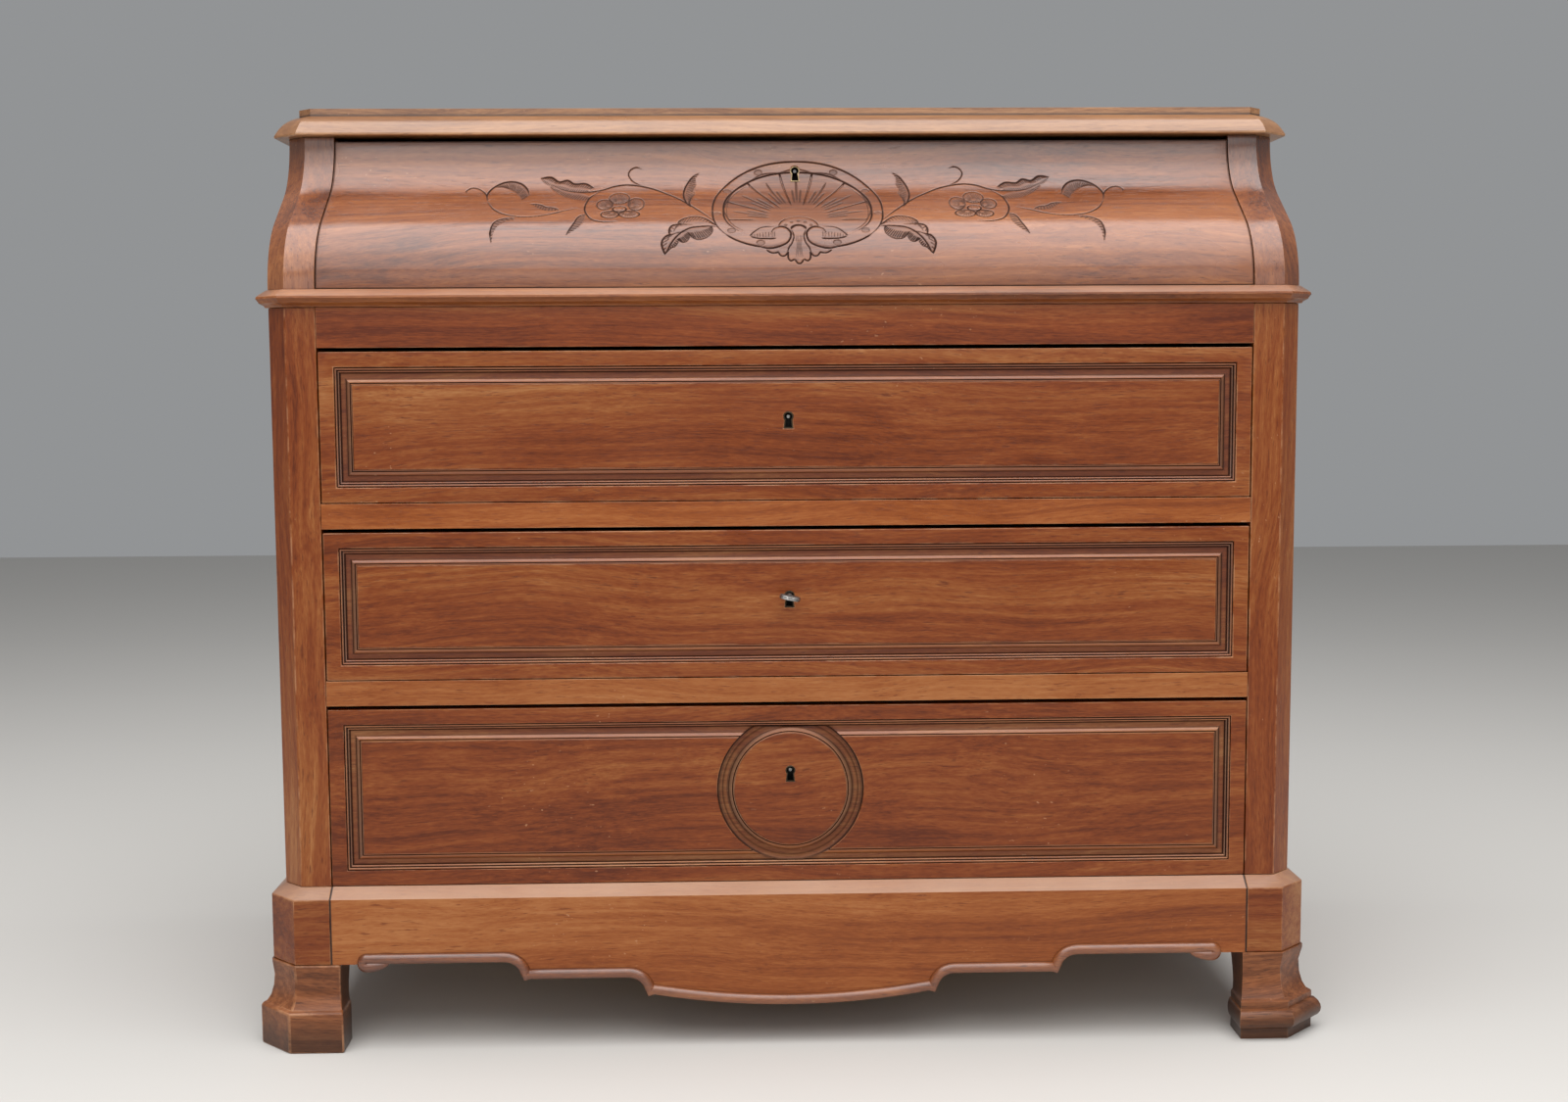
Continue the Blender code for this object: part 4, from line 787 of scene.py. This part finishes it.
def carve_leaves(cut, side):
    """The scalloped leaves of one side, and the small sprays along its stems."""
    vein = on_side(LOW_LEAF_VEIN, side)
    tops = [on_side(points, side) for points in LOW_LEAF_TOPS]
    lows = [on_side(points, side) for points in LOW_LEAF_LOWS]
    cut.body(np.concatenate([vein, *tops]), 0.45, 0.14, 3.0)
    cut.body(np.concatenate([vein, *[low[::-1] for low in lows[::-1]]]), 0.3, 0.3, 3.0)
    cut.groove(vein, 2.6, 0.9)
    for top, count in zip(tops, (8, 8, 15)):
        cut.groove(top, 2.8, 1.0, (0.6, 0.6))
        cut.hatch(top, vein[::-1], count, (0.02, 0.38), 1.7, 0.55, 0.0, 0.85)
    count = len(vein)
    for low, start, end, strokes in zip(lows, (0.1, 0.5, 0.7), (0.5, 0.7, 0.95), (15, 8, 8)):
        part = vein[int(start * count):int(end * count)]
        cut.groove(low, 1.8, 0.7, (0.6, 0.6), 0.8)
        cut.hatch(low, part, strokes, (0.0, 0.62), 1.9, 0.7, 0.03, 1.0)
    crest, low = on_side(scallops(LEAF_VALLEYS, 4.5), side), on_side(LEAF_LOW, side)
    cut.body(np.concatenate([crest, low[::-1]]), 0.45, 0.16, 3.0)
    cut.hatch(crest, low, 26, (0.03, 0.45), 1.7, 0.55, 0.0, 0.9)
    cut.hatch(low, crest, 26, (0.0, 0.3), 1.6, 0.5, 0.0, 0.8)
    cut.groove(crest, 3.2, 1.1, (0.6, 0.6))
    under, under_top = on_side(UNDER_LEAF, side), on_side(UNDER_LEAF_TOP, side)
    cut.body(np.concatenate([under, under_top[::-1]]), -0.1, 0.3, 2.0)
    cut.hatch(under, under_top, 20, (0.0, 0.8), 1.8, 0.55, 0.04, 0.9)
    spine, edge = on_side(RING_LEAF, side), on_side(RING_LEAF_EDGE, side)
    cut.body(np.concatenate([spine, edge[::-1]]), -0.1, 0.32, 1.5)
    cut.hatch(edge, spine, 18, (0.0, 0.8), 1.8, 0.55, -0.04, 0.9)
    cut.groove(spine, 2.6, 0.9)
    for upper, lower in SPRAYS.values():
        upper, lower = on_side(upper, side), on_side(lower, side)
        cut.body(np.concatenate([upper, lower[::-1]]), -0.1, 0.4, 1.5)
        cut.hatch(lower, upper, 11, (0.0, 0.9), 1.7, 0.5, 0.06, 0.9)
        cut.groove(upper, 2.3, 0.8, (0.4, 0.3))


def carve_stems(cut, side):
    """The scrolling stems of one side, with the crescent leaf at their end."""
    for points, width in ((STEM, 2.7), (CURL, 1.9), (SPIRAL, 2.4), (STEM_TWO, 2.4), (CURL_TWO, 2.0)):
        cut.groove(on_side(points, side), width, 0.9)
    crescent, edge = on_side(CRESCENT, side), on_side(CRESCENT_EDGE, side)
    leaf = crescent[len(crescent) // 3:]
    cut.body(np.concatenate([leaf, edge[::-1]]), -0.1, 0.32, 2.0)
    cut.hatch(edge, leaf, 20, (0.0, 0.85), 1.8, 0.55, 0.0, 0.9)
    cut.groove(crescent, 2.9, 1.0)


def carve(x, way):
    """All the carving on the front."""
    cut = Carving(x, way)
    carve_shell(cut)
    carve_palmette(cut)
    for side in (-1, 1):
        carve_flower(cut, side)
        carve_leaves(cut, side)
        carve_stems(cut, side)
    return cut


def spread(low, high, fine_low, fine_high, fine, coarse):
    """Grid lines that are close together between two places and further apart outside them."""
    parts = [np.linspace(low, fine_low, max(2, int((fine_low - low) / coarse)) + 1)[:-1],
             np.linspace(fine_low, fine_high, int((fine_high - fine_low) / fine) + 1),
             np.linspace(fine_high, high, max(2, int((high - fine_high) / coarse)) + 1)[1:]]
    return np.concatenate(parts)


# Keyholes: the round, the neck, the skirt and the length below the round's middle, in millimetres
KEYHOLE = (4.6, 3.0, 4.2, 12.5)
KEYHOLE_STEPS = 20
HOLE_GROW = 1.15
LINER_RIM = 1.0

# Brass thread round a keyhole: its outer edge, crest and inner edge, their rise and its depth, in millimetres
THREAD_GROWS = (1.2, 0.6, 0.05)
THREAD_RISE, THREAD_CREST = 0.1, 0.35
THREAD_DEPTH = 7.0


def keyhole(x, z, grow):
    """Outline of a keyhole in metres as (x, z)."""
    radius, neck, skirt, length = (value + grow for value in KEYHOLE)
    start = -math.acos(neck / radius)
    turns = np.linspace(start, math.pi - start, KEYHOLE_STEPS)
    loop = [(x + radius * MM * math.cos(turn), z + radius * MM * math.sin(turn)) for turn in turns]
    return loop + [(x - skirt * MM, z - length * MM), (x + skirt * MM, z - length * MM)]


def ogee_front(material):
    """The carved face of the top drawer, laid over the plain front, with a hole for the keyhole."""
    half = FRONT_HIGH.x / MM - SKIN_EDGE
    first, last = SKIN_EDGE, WAY[-1] - SKIN_EDGE
    x = np.sort(np.append(spread(-half, half, *CARVED_X, FINE, COARSE), (-half + SKIN_LIP, half - SKIN_LIP)))
    way = spread(first, last, *CARVED_WAY, FINE, COARSE / 2)
    way = np.sort(np.append(way, (first + SKIN_LIP, last - SKIN_LIP)))
    cut = carve(x, way)
    border = np.minimum(half - abs(cut.x), np.minimum(cut.way - first, last - cut.way))
    rise = np.clip(border / SKIN_TAPER, 0, 1)
    out = SKIN_BASE + SKIN * rise * rise * (3 - 2 * rise) + cut.lift - cut.depth
    points = on_ogee(cut.x, cut.way, out).reshape(-1, 3)
    # Painted shadow line along the skin's border, added to the wax and painted shade of the cuts
    wax_and_shade = np.maximum(cut.wax_and_shade, np.clip(BORDER_SHADOW - border / BORDER_SHADOW_WIDTH, 0, 1)).reshape(-1)
    outline = keyhole(KEYHOLE_X * MM, KEYHOLE_Z, HOLE_GROW)
    hole = np.array([(u / MM, np.interp(v, WAY_Z, WAY)) for u, v in outline])
    low, high = hole.min(0) - 3 * FINE, hole.max(0) + 3 * FINE
    c0, c1 = np.searchsorted(x, (low[0], high[0]))
    r0, r1 = np.searchsorted(way, (low[1], high[1]))
    columns, rows = len(x), len(way)
    faces = []
    for row in range(rows - 1):
        for column in range(columns - 1):
            if not (r0 <= row < r1 and c0 <= column < c1):
                at = row * columns + column
                faces.append((at, at + 1, at + columns + 1, at + columns))
    inner = [(row, column) for row in range(r0, r1 + 1) for column in range(c0, c1 + 1)]
    rim = len(inner)
    flat = [Vector((x[column], way[row])) for row, column in inner] + [Vector(tuple(point)) for point in hole]
    edges = [(rim + index, rim + (index + 1) % len(hole)) for index in range(len(hole))]
    made, _, tris, origins, _, _ = delaunay_2d_cdt(flat, edges, [], 0, 0.0001)
    extra = []
    number = {}
    for index, sources in enumerate(origins):
        known = [source for source in sources if source < rim]
        if known:
            row, column = inner[known[0]]
            number[index] = row * columns + column
        else:
            number[index] = len(points) + len(extra)
            extra.append(tuple(made[index]))
    middle = np.array([np.mean([made[corner] for corner in tri], 0) for tri in tris])
    inside = np.zeros(len(middle), bool)
    for (x0, w0), (x1, w1) in zip(hole, np.roll(hole, -1, 0)):
        if w0 != w1:
            inside ^= ((w0 > middle[:, 1]) != (w1 > middle[:, 1])) & (
                middle[:, 0] < (x1 - x0) * (middle[:, 1] - w0) / (w1 - w0) + x0)
    for tri, gone in zip(tris, inside):
        if not gone:
            faces.append(tuple(number[corner] for corner in tri))
    if extra:
        extra = np.array(extra)
        points = np.concatenate([points, on_ogee(extra[:, 0], extra[:, 1], np.full(len(extra), SKIN))])
        wax_and_shade = np.concatenate([wax_and_shade, np.zeros(len(extra))])
    marks = {"wax_and_shade": wax_and_shade}
    return piece("top_drawer_carving", points, faces, material, "top_drawer", marks,
                 CARVING_SHARP)


def liner(word, x, z, front):
    """Brass thread round a keyhole, whose front edge follows front(z)."""
    loops = []
    for (ox, oz), (mx, mz), (ix, iz) in zip(*(keyhole(x, z, grow) for grow in THREAD_GROWS)):
        outer, crest, inner = front(oz), front(mz), front(iz)
        loops.append([(ox, outer - THREAD_RISE * MM, oz), (mx, crest - THREAD_CREST * MM, mz),
                      (ix, inner - THREAD_RISE * MM, iz), (ix, inner + THREAD_DEPTH * MM, iz),
                      (ox, outer + THREAD_DEPTH * MM, oz)])
    points, faces = tube(loops, True)
    thread_metal = BRASS if word == "top" else TARNISHED
    made = piece(word + "_keyhole_thread", points, faces, thread_metal, word + "_drawer")
    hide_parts(word + "_keyhole_liner")


# Worn ridges round the front of the key's bow, in millimetres
BOW_HALF = (12.0, 9.0)
BOW_TILT = math.radians(12)
RIDGE_RISES = (-1.5, 0.0, 1.5)
RIDGE_RADIUS = 0.55
RIDGE_STEPS = 24
RIDGE_SIDES = 8


def key_ridges():
    """Three bright ridges along the bow's front edge."""
    low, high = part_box("key")
    middle = (low + high) / 2
    for number, rise in enumerate(RIDGE_RISES):
        loops = []
        for step in range(RIDGE_STEPS + 1):
            turn = math.pi * (1 + step / RIDGE_STEPS)
            loop = []
            for side in range(RIDGE_SIDES):
                angle = math.tau * side / RIDGE_SIDES
                out = (BOW_HALF[0] + RIDGE_RADIUS * math.cos(angle)) * math.cos(turn) * MM
                ahead = (BOW_HALF[1] + RIDGE_RADIUS * math.cos(angle)) * math.sin(turn) * MM
                up = (rise + RIDGE_RADIUS * math.sin(angle)) * MM
                loop.append((middle.x + out * math.cos(BOW_TILT) + up * math.sin(BOW_TILT),
                             low.y + BOW_HALF[1] * MM + ahead,
                             middle.z - out * math.sin(BOW_TILT) + up * math.cos(BOW_TILT)))
            loops.append(loop)
        points, faces = tube(loops, closed=False)
        piece("key_ridge_%d" % (number + 1), points, faces, STEEL, "key")


# Bead along the apron's lower edge: the right half of its line, from the middle out
BEAD_RADIUS = 0.0063
BEAD_CENTRE_Z = 0.0535
BEAD_SWEEP = (0.165, 0.0145)
BEAD_STEP = (0.026, 0.0235, 0.005)
BEAD_FLAT = 0.117
BEAD_END = 0.5070
BEAD_CURL = 0.0046
BEAD_TAIL = 0.027
BEAD_SIDES = 10
BEAD_SWEEP_STEPS = 16
BEAD_CURL_STEPS = 10
BEAD_TAIL_STEPS = 8
BEAD_SWELL = 0.12
BEAD_TAIL_RISE = 0.004


def bead_line():
    """Right half of the bead's middle line as (x, z), and the bead's radius along it."""
    line = []
    for step in range(BEAD_SWEEP_STEPS + 1):
        share = step / BEAD_SWEEP_STEPS
        line.append((BEAD_SWEEP[0] * share, BEAD_CENTRE_Z + BEAD_SWEEP[1] * share ** 2))
    wide, rise, cusp = BEAD_STEP
    for flat in (BEAD_FLAT, None):
        x, z = line[-1][0] + cusp, line[-1][1] - cusp / 2
        for step in range(9):
            turn = math.pi / 2 * step / 8
            line.append((x + wide * (1 - math.cos(turn)), z + rise * math.sin(turn)))
        x, z = line[-1]
        end = x + flat if flat else BEAD_END
        line += [(x + (end - x) * step / 6, z) for step in range(1, 7)]
    radii = [BEAD_RADIUS] * len(line)
    x, z = line[-1]
    for step in range(1, BEAD_CURL_STEPS + 1):
        turn = math.pi * step / BEAD_CURL_STEPS
        line.append((x + BEAD_CURL * math.sin(turn), z - BEAD_CURL * (1 - math.cos(turn))))
        radii.append(BEAD_RADIUS * (1.0 + BEAD_SWELL * step / BEAD_CURL_STEPS))
    for step in range(1, BEAD_TAIL_STEPS + 1):
        share = step / BEAD_TAIL_STEPS
        line.append((x - BEAD_TAIL * share, z - 2 * BEAD_CURL + BEAD_TAIL_RISE * share ** 2))
        radii.append(BEAD_RADIUS * (1.0 + BEAD_SWELL) * math.sqrt(max(1.0 - share ** 2, 0.02)))
    return line, radii


def apron_bead(material):
    """Half-round bead with a curled end on each side."""
    line, radii = bead_line()
    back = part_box("apron_rail")[0].y
    path = [(-x, z) for x, z in reversed(line[1:])] + line
    sizes = list(reversed(radii[1:])) + radii
    loops, wax_and_shade = [], []
    for index, ((x, z), radius) in enumerate(zip(path, sizes)):
        before, after = path[max(index - 1, 0)], path[min(index + 1, len(path) - 1)]
        run = math.hypot(after[0] - before[0], after[1] - before[1])
        across = (-(after[1] - before[1]) / run, (after[0] - before[0]) / run)
        loop = []
        for step in range(BEAD_SIDES + 1):
            turn = math.pi * step / BEAD_SIDES
            shift = radius * math.cos(turn)
            loop.append((x + across[0] * shift, back - radius * math.sin(turn), z + across[1] * shift))
            # Wax and painted shade along the creases where the bead meets the apron
            wax_and_shade.append(0.8 if step in (0, BEAD_SIDES) else 0.0)
        loops.append(loop)
    points, faces = tube(loops, False)
    made = piece("apron_bead_curled", points, faces, material, "carcass", {"wax_and_shade": wax_and_shade}, 50)
    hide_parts("apron_bead")


# Which grain, tones and softened edges each shown node of the part takes
def dress(names, finishes, soft):
    """Give nodes a finish, and soften their edges in the second finish."""
    for name in names:
        shown = NODES[name]
        mesh = shown.data
        mesh.materials.clear()
        for finish in finishes:
            mesh.materials.append(finish)
        if "custom_normal" in mesh.attributes:
            mesh.attributes.remove(mesh.attributes["custom_normal"])
        mesh.shade_smooth()
        shown.modifiers.new("weld", "WELD").merge_threshold = 0.00001
        bevel = shown.modifiers.new("soft edges", "BEVEL")
        bevel.width = soft
        bevel.segments = 2
        bevel.limit_method = "ANGLE"
        bevel.angle_limit = math.radians(28)
        bevel.material = len(finishes) - 1
        shown.modifiers.new("flat faces", "WEIGHTED_NORMAL").keep_sharp = True


def dress_wood(names, tones, axis, seed, soft=0.0012, edge=0.55, **look):
    """Give nodes a wood of their own, worn along the edges, with a painted highlight there."""
    plain = wood(names[0] + "_wood", tones, axis, seed, **look)
    dress(names, (plain, wood(names[0] + "_worn", tones, axis, seed, edge=edge, **look)), soft)
    return plain


def both(name):
    """The left and right nodes of a pair."""
    return [name + "_left", name + "_right"]


dress_wood(["top_board"], WALNUT_PALE, "X", 1.0, 0.0015, shine=0.8, dirt=top_dirt)
dress_wood(["waist_board"], WALNUT_OGEE, "X", 2.0, 0.0008, shine=0.3, dust=0.26)
dress_wood(["front_post_left"], WALNUT, "Z", 3.0)
dress_wood(["front_post_right"], WALNUT, "Z", 4.0)
dress_wood(both("ogee_post"), WALNUT_OGEE, "Z", 5.0, shine=0.8, gloss=0.25, dirt=hollow_dirt)
dress_wood(both("lower_side") + both("upper_side"), WALNUT, "Z", 6.0)
# Painted light: a lighter copy of the walnut, to offset the shade under the waist moulding
dress_wood(["frieze_rail"], shade(WALNUT, 1.14), "X", 7.0)
dress_wood(["upper_rail"], WALNUT_GOLD, "X", 8.0)
dress_wood(["lower_rail"], shade(WALNUT_GOLD, 0.88), "X", 9.0)
dress_wood(both("base_block"), shade(WALNUT, 0.93), "X", 10.0, dust=0.4)
dress_wood(both("side_plinth"), WALNUT, "Y", 11.0, dust=0.4)
dress_wood(["apron_rail"], shade(WALNUT_GOLD, 0.92), "X", 12.0, dust=0.55, dirt=joint_dirt)
dress_wood(both("front_foot") + both("rear_foot"), WALNUT_FOOT, "X", 13.0, 0.002, dirt=foot_dirt)
dress_wood(["back_panel"], DEAL, "Z", 14.0, edge=0.1, gloss=0.6)
dress_wood(["upper_dust_board", "lower_dust_board", "bottom_board"], DEAL, "X", 15.0, edge=0.1, gloss=0.6)

# Drawer boxes
BOX_SOFT = 0.0008
drawer_sides = [name for word in WORDS for name in both(word + "_drawer_side")]
dress_wood(drawer_sides, DEAL, "Y", 16.0, BOX_SOFT, 0.1, gloss=0.6)
drawer_boards = [word + board for word in WORDS for board in ("_drawer_bottom", "_drawer_back")]
dress_wood(drawer_boards, DEAL, "X", 17.0, BOX_SOFT, 0.1, gloss=0.6)

# Locks
LOCK_SOFT = 0.0004
dress(["key"] + [word + "_lock_bolt" for word in WORDS], (IRON,), LOCK_SOFT)
for word in WORDS:
    dress([word + "_lock_case"], (lock_iron(word),), LOCK_SOFT)


# Drawer fronts
def carved_face(z):
    """The y of the carved front's face at a height."""
    turn = float(np.interp(z, WAY_Z, WAY_TURN))
    return float(np.interp(z, WAY_Z, WAY_Y)) - SKIN * MM / math.cos(turn)


for turn, word in enumerate(WORDS):
    look = {"tones": WALNUT}
    if word == "top":
        look = {"tones": WALNUT_OGEE, "shine": 0.8, "gloss": 0.25, "dirt": hollow_dirt}
    front_wood = dress_wood([word + "_drawer_front"], axis="X", seed=20.0 + 3 * turn, **look)
    if word == "top":
        ogee_front(front_wood)
        liner(word, KEYHOLE_X * MM, KEYHOLE_Z, carved_face)
    else:
        moulding_wood = wood(word + "_moulding_wood", shade(WALNUT, 1.12), "X", 21.0 + 3 * turn,
                             shine=0.6, dust=0.1, dirt=side_dirt)
        panel(word, moulding_wood, ring=word == "lower")
        liner_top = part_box(word + "_keyhole_liner")[1].z
        liner(word, 0.0, liner_top - (KEYHOLE[0] + LINER_RIM) * MM, lambda z: FACE_Y)
key_ridges()
apron_bead(wood("bead_wood", WALNUT_OGEE, "X", 18.0, shine=0.95))

# Floor
floor_mesh = bpy.data.meshes.new("floor")
FLOOR_HALF = 6
floor_corners = [(-FLOOR_HALF, -FLOOR_HALF, 0), (FLOOR_HALF, -FLOOR_HALF, 0),
                 (FLOOR_HALF, FLOOR_HALF, 0), (-FLOOR_HALF, FLOOR_HALF, 0)]
floor_mesh.from_pydata(floor_corners, [], [(0, 1, 2, 3)])
floor = bpy.data.objects.new("floor", floor_mesh)
bpy.context.scene.collection.objects.link(floor)
floor_finish = bpy.data.materials.new("pale_floor")
floor_finish.use_nodes = True
floor_shader = floor_finish.node_tree.nodes["Principled BSDF"]
floor_shader.inputs["Base Color"].default_value = (0.60, 0.58, 0.55, 1.0)
floor_shader.inputs["Roughness"].default_value = 0.75
floor_mesh.materials.append(floor_finish)

# Camera, at the photo's place
CAMERA_PLACE = Vector((-0.066, -2.461, 0.801))
CAMERA_AHEAD = Vector((0.0272, 1.0, -0.0946))
CAMERA_RIGHT = Vector((1.0, -0.0272, -0.0058))
CAMERA_LENS, CAMERA_SENSOR = 42.92, 36.0
ahead = CAMERA_AHEAD.normalized()
right = (CAMERA_RIGHT - ahead * CAMERA_RIGHT.dot(ahead)).normalized()
lens = bpy.data.cameras.new("camera")
lens.lens = CAMERA_LENS
lens.sensor_width = CAMERA_SENSOR
camera = bpy.data.objects.new("camera", lens)
facing = Matrix((right, right.cross(ahead), -ahead)).transposed().to_4x4()
camera.matrix_world = Matrix.Translation(CAMERA_PLACE) @ facing
bpy.context.scene.collection.objects.link(camera)
bpy.context.scene.camera = camera


# Light
def softbox(name, place, aim, size, power):
    """A rectangular area light at a place, turned to a point."""
    light = bpy.data.lights.new(name, "AREA")
    light.shape = "RECTANGLE"
    light.size, light.size_y = size
    light.energy = power
    lamp = bpy.data.objects.new(name, light)
    lamp.location = place
    lamp.rotation_euler = (Vector(aim) - Vector(place)).to_track_quat("-Z", "Y").to_euler()
    bpy.context.scene.collection.objects.link(lamp)


softbox("sky_light", (0.0, -0.725, 3.45), (0.0, -0.725, 0.0), (5.0, 2.55), 148.0)
softbox("room_light", (0.0, -3.5, 3.45), (0.0, -3.5, 0.0), (5.0, 3.0), 114.0)
softbox("front_light", (0.0, -4.6, 1.9), (0.0, -0.2, 0.9), (5.0, 1.6), 38.0)
world = bpy.data.worlds.new("studio")
bpy.context.scene.world = world
world.use_nodes = True
world.node_tree.nodes["Background"].inputs["Color"].default_value = (0.80, 0.82, 0.84, 1.0)
world.node_tree.nodes["Background"].inputs["Strength"].default_value = 0.36
bpy.context.scene.view_settings.view_transform = "Standard"
